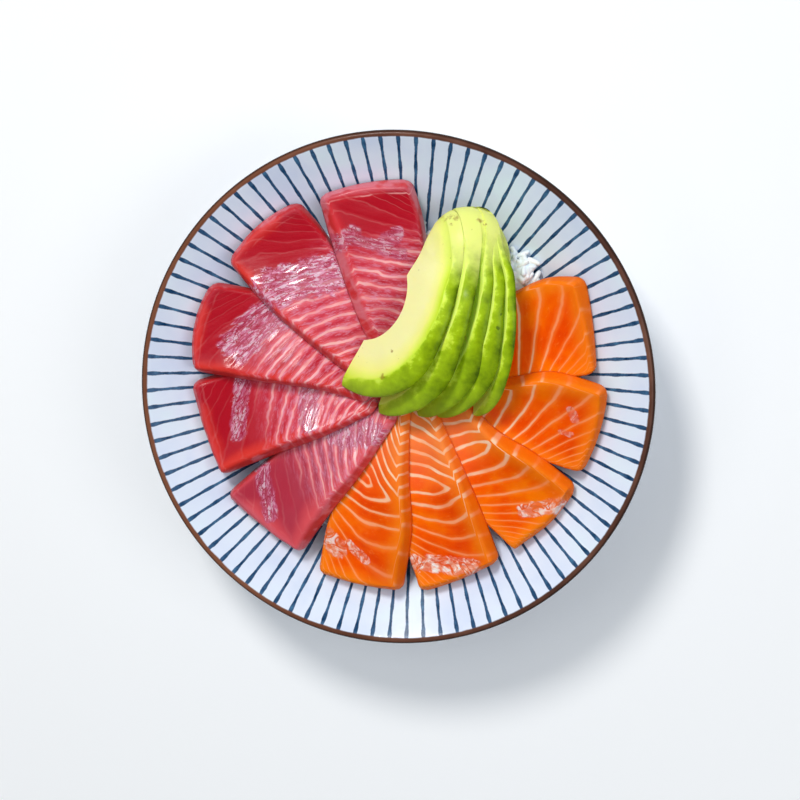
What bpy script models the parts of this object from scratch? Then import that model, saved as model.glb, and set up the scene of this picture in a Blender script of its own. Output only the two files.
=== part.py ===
"""Chirashi bowl: a shallow porcelain bowl on a foot ring, a heap of rice, five tuna and five salmon
slices fanned round it, and half an avocado in five slices fanned on top.

All sizes below are millimetres, turned into metres by MM. The origin is under the bowl's centre, on
the ground. The fan runs anticlockwise seen from above, and each fish slice lies over the one that
follows it. Pieces are made from the lowest to the highest, and each is draped or set down on what
is already there.
"""

import math
import random

import bmesh
import bpy
from mathutils import Matrix, Vector
from mathutils.bvhtree import BVHTree

MM = 0.001
GAP = 0.4  # kept between pieces that touch
FAR_ABOVE = 200.0
SHARP_FROM = 40.0  # degrees between two faces, over which their edge is shown sharp

# Bowl
RIM_RADIUS = 105.0
BOWL_HEIGHT = 50.0
WALL = 3.6
FLOOR_WALL = 5.0
LIP_RADIUS = WALL / 2
FLOOR_HEIGHT = 13.0
WALL_SLOPE = 0.62
WALL_START = 43.0  # radius at which the floor turns into the wall
WALL_BEND = 8.0  # softness of that turn
INNER_RADII = (20.0, 33.0, 42.0, 51.0, 62.0, 76.0, 90.0)  # where the section has its points
OUTER_RADII = (88.0, 72.0, 60.0, 51.5)
FOOT_RADIUS = 48.2
FOOT_WIDTH = 4.8
FOOT_TOP = 11.5
FOOT_ROUNDING = 0.8
FOOT_SLANT = 0.6
FOOT_RECESS = 7.4
FOOT_RECESS_DOME = 0.4
BOWL_STEPS = 60

# Rice heap
RICE_RADIUS = 71.0
RICE_EDGE = 31.5
RICE_TOP = 38.5
RICE_UNEVEN = 0.5
RICE_EDGE_UNEVEN = 1.0
RICE_OVER_BOWL = 0.6  # more than GAP, as both are faceted
RICE_SEGMENTS = 40
RICE_TOP_SHARES = (0.25, 0.5, 0.72, 0.88, 0.97)  # of the edge radius, from the centre out
RICE_UNDER_SHARES = (0.93, 0.72, 0.4)
GRAIN_LENGTH = 6.2
GRAIN_WIDTH = 2.7
GRAIN_HEIGHT = 2.4
GRAIN_SIDES = 5
GRAIN_RINGS = 4
GRAIN_COUNT = 64
GRAIN_BEARINGS = (18.0, 72.0)  # degrees: the sector of the heap that no slice covers
GRAIN_RADII = (44.0, 71.5)
GRAIN_RISE = (-0.3, 0.6)
GRAIN_PITCH = 20.0
GRAIN_STRETCH = (0.85, 1.1)
GRAIN_SEED = 7

# Fish slices. cw and ccw are the clockwise and the anticlockwise side on the ground plan, each from
# the inner to the outer end.
FISH_THICKNESS = 7.2
FISH_TIP_SHARE = 0.35  # of the thickness, at the inner end
FISH_TIP_REACH = 0.4  # of the length, where the thickness is full
EDGE_ROUNDING = 0.14  # of the thickness, lost at the sides
END_SLANT = 0.015  # of the length
SLANT_CUT = 4.2  # how far the anticlockwise side leans, as the slice is cut on the slant
SLANT_BACK = 0.6
MOST_SLANT = 0.2  # of the slice's width
CROWN_START = 0.6  # of the length, where the outer end's bulge begins
SUPPORT_REACH = 1.8
BEND_ROUNDS = 24
FACING_ROUNDS = 16
LIFT = 0.3
MOST_LIFTS = 40  # rounds of raising a slab where it still crosses what is below
OUTER_CORNER = 5.0
INNER_CORNER = 3.0
ALONG = (0.0, 0.02, 0.08, 0.2, 0.34, 0.48, 0.62, 0.75, 0.86, 0.94, 0.985, 1.0)
ACROSS = (0.0, 0.07, 0.22, 0.42, 0.62, 0.8, 0.93, 1.0)
TUNA = {
    "tuna_1": {
        "cw": ((8, 12), (13, 40), (11, 66), (6, 85)),
        "ccw": ((-6, 10), (-15, 29), (-25, 56), (-32, 78)),
        "bulge": 2.0,
    },
    "tuna_2": {
        "cw": ((-5, 12), (-15, 38), (-28, 61), (-40, 76)),
        "ccw": ((-12, 2), (-30, 15), (-52, 33), (-69, 51)),
        "bulge": 3.5,
    },
    "tuna_3": {
        "cw": ((-10, 8), (-32, 26), (-54, 38), (-76, 43)),
        "ccw": ((-12, -5), (-34, 0), (-61, 3), (-84, 6)),
        "bulge": 4.0,
    },
    "tuna_4": {
        "cw": ((-10, -1), (-34, 6), (-60, 8), (-86, 1)),
        "ccw": ((-12, -11), (-30, -20), (-50, -28), (-73, -38)),
        "bulge": 1.5,
    },
    "tuna_5": {
        "cw": ((-3, -5), (-26, -15), (-48, -26), (-72, -46)),
        "ccw": ((1, -12), (-14, -35), (-27, -52), (-40, -70)),
        "bulge": 1.5,
    },
}
SALMON = {
    "salmon_1": {
        "cw": ((32, 4), (48, 3), (64, 4), (81, 8)),
        "ccw": ((34, 30), (48, 40), (61, 46), (76, 47)),
        "bulge": 1.0,
    },
    "salmon_2": {
        "cw": ((22, -6), (42, -18), (60, -28), (76, -33)),
        "ccw": ((24, 4), (45, 6), (64, 9), (86, 3)),
        "bulge": 2.0,
    },
    "salmon_3": {
        "cw": ((12, -3), (23, -32), (35, -53), (48, -65)),
        "ccw": ((22, 4), (40, -14), (58, -25), (74, -38)),
        "bulge": 1.0,
    },
    "salmon_4": {
        "cw": ((6, -5), (1, -36), (3, -62), (10, -85)),
        "ccw": ((15, -4), (28, -31), (36, -50), (43, -70)),
        "bulge": 1.5,
    },
    "salmon_5": {
        "cw": ((-2, -4), (-17, -34), (-28, -54), (-33, -78)),
        "ccw": ((6, -7), (6, -34), (7, -58), (3, -84)),
        "bulge": 1.5,
    },
}
# From the lowest slice to the highest.
FISH_ORDER = (
    "salmon_1",
    "salmon_2",
    "salmon_3",
    "salmon_4",
    "salmon_5",
    "tuna_5",
    "tuna_4",
    "tuna_3",
    "tuna_2",
    "tuna_1",
)

# Avocado slices, fanned about the stem end. Each rests on its flat side, which runs from stem (on
# the ground plan) along heading, and leans back on the slice below it. lean is the least tilt of its
# cut face from level, dip how far the stem end hangs below the blossom end.
AVOCADO_LENGTH = 86.0
AVOCADO_WIDTH = 27.0
AVOCADO_FLAT_THICKNESS = 2.0
AVOCADO_STEM_SHARE = 0.4  # of the thickness, at the stem end
AVOCADO_STEM_REACH = 0.7  # of the length, where the thickness is full
PIT_RADIUS = 18.0
PIT_PLACE = 0.44  # of the length, from the blossom end
PIT_SINK = 7.0
NECK_BOW = 3.5  # how far the flat side draws in between the pit's hollow and the stem end
SKIN_STEPS = 20
PIT_STEPS = 8
STEEPEST_LEAN = 75.0
NECK_SHARES = (0.94, 0.85, 0.75)  # of the length, where the flat side has its points
DROP_STEP = 1.0
DROP_PRECISION = 0.05
# full is how much wider the blossom end is than the stem end, thick is measured under the skin and
# flare is how far the skin side spreads below the cut face.
AVOCADO = {
    "avocado_1": {
        "stem": (17.5, 74), "heading": 241, "lean": 42, "dip": 1,
        "long": 0.91, "wide": 1.12, "full": 0.2, "thick": 4.6, "flare": 3.5,
    },
    "avocado_2": {
        "stem": (21, 72), "heading": 250.5, "lean": 52, "dip": 3,
        "long": 0.96, "wide": 1.12, "full": -0.05, "thick": 5.2, "flare": 3.5,
    },
    "avocado_3": {
        "stem": (28.5, 73.5), "heading": 256.5, "lean": 53, "dip": 4,
        "long": 0.98, "wide": 1.05, "full": -0.02, "thick": 4.6, "flare": 2.0,
    },
    "avocado_4": {
        "stem": (30, 73), "heading": 261, "lean": 54, "dip": 5,
        "long": 0.97, "wide": 1.1, "full": 0.0, "thick": 4.4, "flare": 1.5,
    },
    "avocado_5": {
        "stem": (32, 74), "heading": 270, "lean": 56, "dip": 6,
        "long": 0.97, "wide": 1.02, "full": 0.03, "thick": 3.8, "flare": 0.8,
    },
}

# Base colour and roughness.
GLAZE = ((0.80, 0.82, 0.86), 0.15)
RICE_WHITE = ((0.86, 0.87, 0.88), 0.5)
TUNA_RED = ((0.48, 0.02, 0.05), 0.3)
SALMON_ORANGE = ((0.85, 0.15, 0.01), 0.3)
AVOCADO_GREEN = ((0.42, 0.60, 0.08), 0.4)


def clear_scene():
    for old in list(bpy.data.objects):
        bpy.data.objects.remove(old, do_unlink=True)


def make_material(name, look):
    colour, roughness = look
    material = bpy.data.materials.new(name)
    material.use_nodes = True
    shader = material.node_tree.nodes["Principled BSDF"]
    shader.inputs["Base Color"].default_value = (*colour, 1.0)
    shader.inputs["Roughness"].default_value = roughness
    shader.inputs["Metallic"].default_value = 0.0
    return material


def add_object(name, mesh, material, collection, parent=None):
    mesh.materials.append(material)
    mesh.shade_smooth()
    mesh.set_sharp_from_angle(angle=math.radians(SHARP_FROM))
    piece = bpy.data.objects.new(name, mesh)
    collection.objects.link(piece)
    piece.parent = parent
    return piece


def mesh_from_bmesh(bm, name):
    bmesh.ops.recalc_face_normals(bm, faces=bm.faces)
    mesh = bpy.data.meshes.new(name)
    bm.to_mesh(mesh)
    bm.free()
    return mesh


# ---- bowl ----


def inner_height(radius):
    """Height of the bowl's inner face: a level floor that bends softly into a straight wall."""
    rise = math.log1p(math.exp((radius - WALL_START) / WALL_BEND))
    return FLOOR_HEIGHT + WALL_SLOPE * WALL_BEND * rise


def inner_slope(radius):
    return WALL_SLOPE / (1.0 + math.exp(-(radius - WALL_START) / WALL_BEND))


def outer_point(radius):
    """The outer face's point square across the wall from the inner face at this radius."""
    lean = math.atan(inner_slope(radius))
    share = radius / RIM_RADIUS
    thickness = FLOOR_WALL + (WALL - FLOOR_WALL) * share
    return radius + thickness * math.sin(lean), inner_height(radius) - thickness * math.cos(lean)


def bowl_profile():
    """Radius and height along the section: the inside up, the lip, the outside down, the foot."""
    lip_r = RIM_RADIUS - LIP_RADIUS
    lip_z = BOWL_HEIGHT - LIP_RADIUS
    lean = math.atan(WALL_SLOPE)
    points = [(0.0, inner_height(0.0))]
    points += [(r, inner_height(r)) for r in INNER_RADII]
    for degrees in (90 + math.degrees(lean), 90, 50, 10, -25, math.degrees(lean) - 90):
        turn = math.radians(degrees)
        points.append((lip_r + LIP_RADIUS * math.cos(turn), lip_z + LIP_RADIUS * math.sin(turn)))
    points += [outer_point(r) for r in OUTER_RADII]
    foot_inside = FOOT_RADIUS - FOOT_WIDTH
    points += [
        (FOOT_RADIUS + FOOT_ROUNDING + FOOT_SLANT, FOOT_TOP),
        (FOOT_RADIUS + FOOT_ROUNDING, FOOT_ROUNDING),
        (FOOT_RADIUS, 0.0),
        (foot_inside, 0.0),
        (foot_inside - FOOT_ROUNDING, FOOT_ROUNDING),
        (foot_inside - FOOT_ROUNDING - FOOT_SLANT, FOOT_RECESS),
        (0.0, FOOT_RECESS + FOOT_RECESS_DOME),
    ]
    return points


def make_bowl(material, collection, parent):
    bm = bmesh.new()
    verts = [bm.verts.new((r * MM, 0.0, z * MM)) for r, z in bowl_profile()]
    for a, b in zip(verts, verts[1:]):
        bm.edges.new((a, b))
    mesh = bpy.data.meshes.new("bowl")
    bm.to_mesh(mesh)
    bm.free()
    bowl = add_object("bowl", mesh, material, collection, parent)
    screw = bowl.modifiers.new("turn", "SCREW")
    screw.steps = BOWL_STEPS
    screw.render_steps = BOWL_STEPS
    screw.use_merge_vertices = True
    screw.merge_threshold = 0.00001
    screw.use_smooth_shade = True
    return bowl


# ---- rice ----


def rice_surface(radius, bearing):
    """Height of the heap: a low dome, uneven by a millimetre or so."""
    share = min(radius / RICE_RADIUS, 1.0)
    dome = RICE_EDGE + (RICE_TOP - RICE_EDGE) * (1.0 - share**3)
    swells = math.sin(3 * bearing + 1.0) * share + math.sin(5 * bearing + radius / 9.0)
    return dome + RICE_UNEVEN * swells


def rice_edge_radius(bearing):
    swells = math.sin(4 * bearing + 0.6) + 0.6 * math.sin(9 * bearing)
    return RICE_RADIUS + RICE_EDGE_UNEVEN * swells


def make_rice_core(material, collection, parent):
    """The heap without its grains: a polar grid on top, and one that follows the bowl below."""
    bm = bmesh.new()
    rings = [(share, True) for share in RICE_TOP_SHARES]
    rings += [(share, False) for share in RICE_UNDER_SHARES]
    loops = []
    for share, top in rings:
        loop = []
        for i in range(RICE_SEGMENTS):
            bearing = 2 * math.pi * i / RICE_SEGMENTS
            radius = share * rice_edge_radius(bearing)
            height = rice_surface(radius, bearing) if top else inner_height(radius) + RICE_OVER_BOWL
            place = Vector((radius * math.cos(bearing), radius * math.sin(bearing), height))
            loop.append(bm.verts.new(place * MM))
        loops.append(loop)
    peak = bm.verts.new((0.0, 0.0, rice_surface(0.0, 0.0) * MM))
    base = bm.verts.new((0.0, 0.0, (inner_height(0.0) + RICE_OVER_BOWL) * MM))
    for i in range(RICE_SEGMENTS):
        j = (i + 1) % RICE_SEGMENTS
        bm.faces.new((peak, loops[0][i], loops[0][j]))
        bm.faces.new((base, loops[-1][j], loops[-1][i]))
        for upper, lower in zip(loops, loops[1:]):
            bm.faces.new((upper[i], lower[i], lower[j], upper[j]))
    return add_object("rice", mesh_from_bmesh(bm, "rice"), material, collection, parent)


def make_grain(name, place, heading, pitch, stretch, collection):
    bm = bmesh.new()
    bmesh.ops.create_uvsphere(bm, u_segments=GRAIN_SIDES, v_segments=GRAIN_RINGS, radius=MM / 2)
    size = Matrix.Diagonal((GRAIN_LENGTH * stretch, GRAIN_WIDTH, GRAIN_HEIGHT, 1.0))
    bmesh.ops.rotate(bm, verts=bm.verts, matrix=Matrix.Rotation(math.radians(90), 3, "Y"))
    bmesh.ops.transform(bm, verts=bm.verts, matrix=size)
    turn = Matrix.Rotation(heading, 4, "Z") @ Matrix.Rotation(pitch, 4, "Y")
    bmesh.ops.transform(bm, verts=bm.verts, matrix=Matrix.Translation(place * MM) @ turn)
    mesh = mesh_from_bmesh(bm, name)
    grain = bpy.data.objects.new(name, mesh)
    collection.objects.link(grain)
    grain.hide_render = True
    grain.display_type = "WIRE"
    return grain


def fuse_grains(rice, others, cutters):
    """Sets grains into the bare sector of the heap, skips those that would cross another piece, and
    joins the rest to the core by one Boolean union."""
    draw = random.Random(GRAIN_SEED)
    core = tree_of(rice)
    solids = [tree_of(piece) for piece in others]
    nearest, farthest = GRAIN_RADII
    for index in range(GRAIN_COUNT):
        bearing = math.radians(draw.uniform(*GRAIN_BEARINGS))
        radius = math.sqrt(draw.uniform(nearest**2, farthest**2))
        height = rice_surface(radius, bearing) + draw.uniform(*GRAIN_RISE)
        place = Vector((radius * math.cos(bearing), radius * math.sin(bearing), height))
        heading = draw.uniform(0, math.pi)
        pitch = math.radians(draw.uniform(-GRAIN_PITCH, GRAIN_PITCH))
        stretch = draw.uniform(*GRAIN_STRETCH)
        grain = make_grain(f"grain_{index}", place, heading, pitch, stretch, cutters)
        tree = tree_of(grain)
        if not tree.overlap(core) or any(tree.overlap(solid) for solid in solids):
            bpy.data.objects.remove(grain, do_unlink=True)
    union = rice.modifiers.new("grains", "BOOLEAN")
    union.operation = "UNION"
    union.operand_type = "COLLECTION"
    union.collection = cutters
    union.solver = "MANIFOLD"
    bake_modifiers(rice)
    for grain in list(cutters.objects):
        bpy.data.objects.remove(grain, do_unlink=True)


# ---- draping ----


def bake_modifiers(piece):
    """Replaces the piece's mesh by its evaluated one."""
    bpy.context.view_layer.update()
    graph = bpy.context.evaluated_depsgraph_get()
    mesh = bpy.data.meshes.new_from_object(piece.evaluated_get(graph))
    piece.modifiers.clear()
    piece.data = mesh


def tree_of(piece):
    """A BVH tree of the piece as evaluated, in millimetres and triangles."""
    bpy.context.view_layer.update()
    graph = bpy.context.evaluated_depsgraph_get()
    evaluated = piece.evaluated_get(graph)
    mesh = evaluated.to_mesh()
    mesh.calc_loop_triangles()
    points = [vertex.co / MM for vertex in mesh.vertices]
    faces = [tuple(triangle.vertices) for triangle in mesh.loop_triangles]
    evaluated.to_mesh_clear()
    return BVHTree.FromPolygons(points, faces)


def height_under(trees, x, y):
    """The highest point of the pieces below this place."""
    best = 0.0
    for tree in trees:
        hit = tree.ray_cast(Vector((x, y, FAR_ABOVE)), Vector((0.0, 0.0, -1.0)))[0]
        if hit is not None:
            best = max(best, hit.z)
    return best


def support(trees, x, y, reach):
    """The highest support within reach of this place, as a slab can't dip between two facets."""
    offsets = [(0.0, 0.0)]
    for degrees in range(0, 360, 60):
        turn = math.radians(degrees)
        offsets.append((reach * math.cos(turn), reach * math.sin(turn)))
    return max(height_under(trees, x + dx, y + dy) for dx, dy in offsets)


def curve_point(points, share):
    """A point of the Catmull-Rom curve through the points, share from 0 to 1."""
    ends = [2 * Vector(points[0]) - Vector(points[1])]
    ends += [Vector(p) for p in points]
    ends += [2 * Vector(points[-1]) - Vector(points[-2])]
    spans = len(points) - 1
    i = min(int(share * spans), spans - 1)
    t = share * spans - i
    a, b, c, d = ends[i : i + 4]
    square = 2 * a - 5 * b + 4 * c - d
    cube = 3 * b - a - 3 * c + d
    return 0.5 * (2 * b + (c - a) * t + square * t**2 + cube * t**3)


def round_off(distance, corner):
    """How far a rounded corner draws the side in, at this distance from the end."""
    if distance >= corner:
        return 0.0
    return corner - math.sqrt(corner**2 - (corner - distance) ** 2)


def plan_point(shape, along, across):
    """A place on the slice's ground plan: along from the inner end, across from the clockwise side."""
    cw = curve_point(shape["cw"], along)
    ccw = curve_point(shape["ccw"], along)
    middle_in = (Vector(shape["cw"][0]) + Vector(shape["ccw"][0])) / 2
    middle_out = (Vector(shape["cw"][-1]) + Vector(shape["ccw"][-1])) / 2
    length = (middle_out - middle_in).length
    width = (ccw - cw).length
    drawn_in = round_off((1.0 - along) * length, OUTER_CORNER)
    drawn_in += round_off(along * length, INNER_CORNER)
    across = 0.5 + (across - 0.5) * (1.0 - 2.0 * drawn_in / width)
    crown = (1.0 - (2.0 * across - 1.0) ** 2)
    crown *= max(0.0, (along - CROWN_START) / (1.0 - CROWN_START)) ** 2
    outward = (middle_out - middle_in) / length
    return cw.lerp(ccw, across) + outward * shape["bulge"] * crown


def relax(heights, floor, rounds):
    """Lets the slab bend smoothly over what is under it: no point sinks below its floor."""
    rows, columns = len(heights), len(heights[0])
    for _ in range(rounds):
        fresh = [row[:] for row in heights]
        for i in range(rows):
            for j in range(columns):
                near = []
                if 0 < i < rows - 1:
                    near += [heights[i - 1][j], heights[i + 1][j]]
                if 0 < j < columns - 1:
                    near += [heights[i][j - 1], heights[i][j + 1]]
                if not near:
                    k = 1 if i == 0 else rows - 2
                    m = 1 if j == 0 else columns - 2
                    near = [heights[k][j], heights[i][m]]
                target = 0.5 * heights[i][j] + 0.5 * sum(near) / len(near)
                fresh[i][j] = target if floor is None else max(target, floor[i][j])
        heights = fresh
    return heights


def make_slice(name, shape, trees, material, collection, parent):
    """A slab of fish: its underside drapes over the trees, its top follows square to it."""
    plan = [[plan_point(shape, a, c) for c in ACROSS] for a in ALONG]
    floor = [[support(trees, p.x, p.y, SUPPORT_REACH) + GAP for p in row] for row in plan]
    for _ in range(MOST_LIFTS):
        heights = relax(floor, floor, BEND_ROUNDS)
        mesh = slab_mesh(name, shape, plan, heights)
        touching = touching_places(mesh, trees)
        if not touching:
            break
        for i, j in touching:
            floor[i][j] += LIFT
        bpy.data.meshes.remove(mesh)
    return add_object(name, mesh, material, collection, parent)


def touching_places(mesh, trees):
    """The grid places of the slab whose faces cross a piece below."""
    points = [vertex.co / MM for vertex in mesh.vertices]
    faces = [tuple(face.vertices) for face in mesh.polygons]
    tree = BVHTree.FromPolygons(points, faces)
    crossing = {face for other in trees for face, _ in tree.overlap(other)}
    columns = len(ACROSS)
    count = len(ALONG) * columns
    return {divmod(vertex % count, columns) for face in crossing for vertex in faces[face]}


def slab_mesh(name, shape, plan, heights):
    rows, columns = len(ALONG), len(ACROSS)
    soft = relax(heights, None, FACING_ROUNDS)
    bm = bmesh.new()
    under, over = [], []
    for i in range(rows):
        row = []
        for place, height in zip(plan[i], heights[i]):
            row.append(bm.verts.new((place.x * MM, place.y * MM, height * MM)))
        under.append(row)
    for i, along in enumerate(ALONG):
        width = (curve_point(shape["cw"], along) - curve_point(shape["ccw"], along)).length
        slant = min(SLANT_CUT / width, MOST_SLANT)
        back = min(SLANT_BACK / width, MOST_SLANT)
        taper = FISH_TIP_SHARE + (1 - FISH_TIP_SHARE) * min(1.0, along / FISH_TIP_REACH)
        row = []
        for j, across in enumerate(ACROSS):
            top_along = END_SLANT + (1.0 - 2 * END_SLANT) * along
            top_across = back + (1.0 - back - slant) * across
            place = plan_point(shape, top_along, top_across)
            edge = max(abs(2 * across - 1), abs(2 * along - 1)) ** 10
            thick = FISH_THICKNESS * taper * (1.0 - EDGE_ROUNDING * edge)
            normal = slab_normal(plan, soft, i, j)
            base = Vector((place.x, place.y, height_at(heights, top_along, top_across)))
            row.append(bm.verts.new((base + normal * thick) * MM))
        over.append(row)
    for i in range(rows - 1):
        for j in range(columns - 1):
            bm.faces.new((over[i][j], over[i + 1][j], over[i + 1][j + 1], over[i][j + 1]))
            bm.faces.new((under[i][j], under[i][j + 1], under[i + 1][j + 1], under[i + 1][j]))
    rim = [(i, 0) for i in range(rows)]
    rim += [(rows - 1, j) for j in range(1, columns)]
    rim += [(i, columns - 1) for i in range(rows - 2, -1, -1)]
    rim += [(0, j) for j in range(columns - 2, 0, -1)]
    for (a, b), (c, d) in zip(rim, rim[1:] + rim[:1]):
        bm.faces.new((under[a][b], under[c][d], over[c][d], over[a][b]))
    # Split into triangles here, so that what later pieces are tested on is what is built.
    bmesh.ops.triangulate(bm, faces=bm.faces)
    return mesh_from_bmesh(bm, name)


def height_at(heights, along, across):
    """The slab's underside between the grid's places."""
    i = max(k for k in range(len(ALONG) - 1) if ALONG[k] <= along)
    j = max(k for k in range(len(ACROSS) - 1) if ACROSS[k] <= across)
    s = (along - ALONG[i]) / (ALONG[i + 1] - ALONG[i])
    t = (across - ACROSS[j]) / (ACROSS[j + 1] - ACROSS[j])
    near = heights[i][j] * (1 - t) + heights[i][j + 1] * t
    far = heights[i + 1][j] * (1 - t) + heights[i + 1][j + 1] * t
    return near * (1 - s) + far * s


def slab_normal(plan, heights, i, j):
    rows, columns = len(plan), len(plan[0])

    def at(a, b):
        return Vector((plan[a][b].x, plan[a][b].y, heights[a][b]))

    outward = at(min(i + 2, rows - 1), j) - at(max(i - 2, 0), j)
    sideways = at(i, min(j + 2, columns - 1)) - at(i, max(j - 2, 0))
    normal = outward.cross(sideways).normalized()
    return normal if normal.z > 0 else -normal


# ---- avocado ----


def crescent(length, width, full):
    """A lengthwise slice's outline in its own plane: (along from the blossom end, out from the flat
    side, and how the skin faces along and out, or zeros where it isn't skin). The outer side is
    egg-shaped, the flat side has the pit's hollow and draws in at the neck."""
    outline = []
    for k in range(SKIN_STEPS + 1):
        turn = math.pi * k / SKIN_STEPS
        out = width * math.sin(turn) * (1.0 + full * math.cos(turn))
        facing = Vector((-2.0 * math.cos(turn) / length, math.sin(turn) / width)).normalized()
        outline.append((length * (1.0 - math.cos(turn)) / 2, out, facing.x, facing.y))
    half = math.sqrt(PIT_RADIUS**2 - PIT_SINK**2)
    centre = PIT_PLACE * length
    for share in NECK_SHARES:
        outline.append((length * share, neck_bow(share), 0.0, 0.0))
    for k in range(PIT_STEPS + 1):
        along = centre + half * math.cos(math.pi * k / PIT_STEPS)
        hollow = math.sqrt(max(PIT_RADIUS**2 - (along - centre) ** 2, 0.0)) - PIT_SINK
        outline.append((along, max(hollow, neck_bow(along / length)), 0.0, 0.0))
    return outline


def neck_bow(share):
    """How far the flat side draws in, share of the length from the blossom end."""
    return NECK_BOW * math.sin(math.pi * min(max((share - 0.3) / 0.7, 0.0), 1.0))


def avocado_mesh(name, spec, lean):
    """The slice with its flat side's stem end at the origin, turned, leaned and dipped."""
    length = AVOCADO_LENGTH * spec["long"]
    outline = crescent(length, AVOCADO_WIDTH * spec["wide"], spec["full"])
    bm = bmesh.new()
    rings = []
    for level, share in ((0.0, 0.0), (0.5, 0.75), (1.0, 1.0)):
        ring = []
        for along, out, facing_along, facing_out in outline:
            thick = AVOCADO_FLAT_THICKNESS
            thick += (spec["thick"] - AVOCADO_FLAT_THICKNESS) * min(1.0, out / AVOCADO_WIDTH)
            from_stem = min(1.0, (1.0 - along / length) / AVOCADO_STEM_REACH)
            thick *= AVOCADO_STEM_SHARE + (1.0 - AVOCADO_STEM_SHARE) * from_stem
            grow = spec["flare"] * share
            place = (length - along - grow * facing_along, out + grow * facing_out, -thick * level)
            ring.append(bm.verts.new(Vector(place) * MM))
        rings.append(ring)
    bm.faces.new(rings[0])
    bm.faces.new(rings[-1])
    for upper, lower in zip(rings, rings[1:]):
        for k in range(len(outline)):
            m = (k + 1) % len(outline)
            bm.faces.new((upper[k], upper[m], lower[m], lower[k]))
    bmesh.ops.triangulate(bm, faces=bm.faces)
    # Local x runs from the stem end to the blossom end, y out to the skin, z up.
    tilt = Matrix.Rotation(math.radians(lean), 4, "X")
    dip = Matrix.Rotation(math.radians(-spec["dip"]), 4, "Y")
    turn = Matrix.Rotation(math.radians(spec["heading"]), 4, "Z")
    bmesh.ops.transform(bm, verts=bm.verts, matrix=turn @ dip @ tilt)
    stem_x, stem_y = spec["stem"]
    bmesh.ops.translate(bm, verts=bm.verts, vec=Vector((stem_x, stem_y, 0.0)) * MM)
    return mesh_from_bmesh(bm, name)


def crosses(mesh, trees, height=0.0):
    points = [vertex.co / MM + Vector((0.0, 0.0, height)) for vertex in mesh.vertices]
    tree = BVHTree.FromPolygons(points, [tuple(face.vertices) for face in mesh.polygons])
    return any(tree.overlap(other) for other in trees)


def make_avocado(name, spec, food, leaned_on, material, collection, parent):
    """Sets the slice down on the food, as flat as the slices that it leans on allow."""
    lean = spec["lean"]
    while True:
        mesh = avocado_mesh(name, spec, lean)
        set_down(mesh, food)
        if lean >= STEEPEST_LEAN or not crosses(mesh, leaned_on, -GAP):
            break
        bpy.data.meshes.remove(mesh)
        lean += 1.0
    set_down(mesh, food + leaned_on)
    return add_object(name, mesh, material, collection, parent)


def set_down(mesh, trees):
    """Lowers the mesh until it would touch a piece, and leaves the gap."""
    bottom = min(vertex.co.z for vertex in mesh.vertices) / MM
    high = BOWL_HEIGHT - bottom
    while not crosses(mesh, trees, high - DROP_STEP):
        high -= DROP_STEP
    low = high - DROP_STEP
    while high - low > DROP_PRECISION:
        middle = (low + high) / 2
        if crosses(mesh, trees, middle):
            low = middle
        else:
            high = middle
    mesh.transform(Matrix.Translation((0.0, 0.0, (high + GAP) * MM)))


def main():
    clear_scene()
    scene = bpy.context.scene
    collection = bpy.data.collections.new("chirashi_bowl")
    cutters = bpy.data.collections.new("loose_grains")
    scene.collection.children.link(collection)
    scene.collection.children.link(cutters)
    centre = bpy.data.objects.new("bowl_centre", None)
    collection.objects.link(centre)

    glaze = make_material("glaze", GLAZE)
    rice_white = make_material("rice", RICE_WHITE)
    tuna = make_material("tuna", TUNA_RED)
    salmon = make_material("salmon", SALMON_ORANGE)
    avocado = make_material("avocado", AVOCADO_GREEN)

    bowl = make_bowl(glaze, collection, centre)
    rice = make_rice_core(rice_white, collection, centre)
    pieces = [bowl, rice]
    trees = [tree_of(bowl), tree_of(rice)]
    for name in FISH_ORDER:
        material = tuna if name in TUNA else salmon
        shape = TUNA.get(name) or SALMON[name]
        piece = make_slice(name, shape, trees, material, collection, centre)
        pieces.append(piece)
        trees.append(tree_of(piece))
    fanned = []
    for name in sorted(AVOCADO, reverse=True):
        piece = make_avocado(name, AVOCADO[name], trees, fanned, avocado, collection, centre)
        pieces.append(piece)
        fanned.append(tree_of(piece))
    fuse_grains(rice, [piece for piece in pieces if piece is not rice], cutters)


main()
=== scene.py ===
"""Chirashi bowl, dressed: a glazed striped bowl, rice in grains, ten slices of fish and a fan of
avocado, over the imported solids. Sizes are millimetres. Colours of the materials are screen colours
from 0 to 255, and those of the light are shares.
"""

import math
import random
from typing import NamedTuple

import bmesh
import bpy
import numpy as np
from mathutils import Matrix, Vector
from mathutils.bvhtree import BVHTree


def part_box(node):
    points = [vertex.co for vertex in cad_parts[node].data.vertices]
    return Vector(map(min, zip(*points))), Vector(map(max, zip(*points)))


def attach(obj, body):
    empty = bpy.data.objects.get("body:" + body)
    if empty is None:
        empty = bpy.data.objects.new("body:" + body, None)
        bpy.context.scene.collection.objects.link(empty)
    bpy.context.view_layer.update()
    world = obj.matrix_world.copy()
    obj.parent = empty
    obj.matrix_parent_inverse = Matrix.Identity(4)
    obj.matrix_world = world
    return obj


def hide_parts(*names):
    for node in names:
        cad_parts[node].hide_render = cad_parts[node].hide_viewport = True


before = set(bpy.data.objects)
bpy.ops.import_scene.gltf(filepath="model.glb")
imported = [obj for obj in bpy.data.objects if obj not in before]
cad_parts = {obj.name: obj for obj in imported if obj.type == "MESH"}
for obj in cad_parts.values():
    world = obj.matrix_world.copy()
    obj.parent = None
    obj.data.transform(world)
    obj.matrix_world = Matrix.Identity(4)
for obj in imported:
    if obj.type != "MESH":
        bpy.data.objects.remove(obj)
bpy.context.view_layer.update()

MM = 0.001
scene = bpy.context.scene

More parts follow.
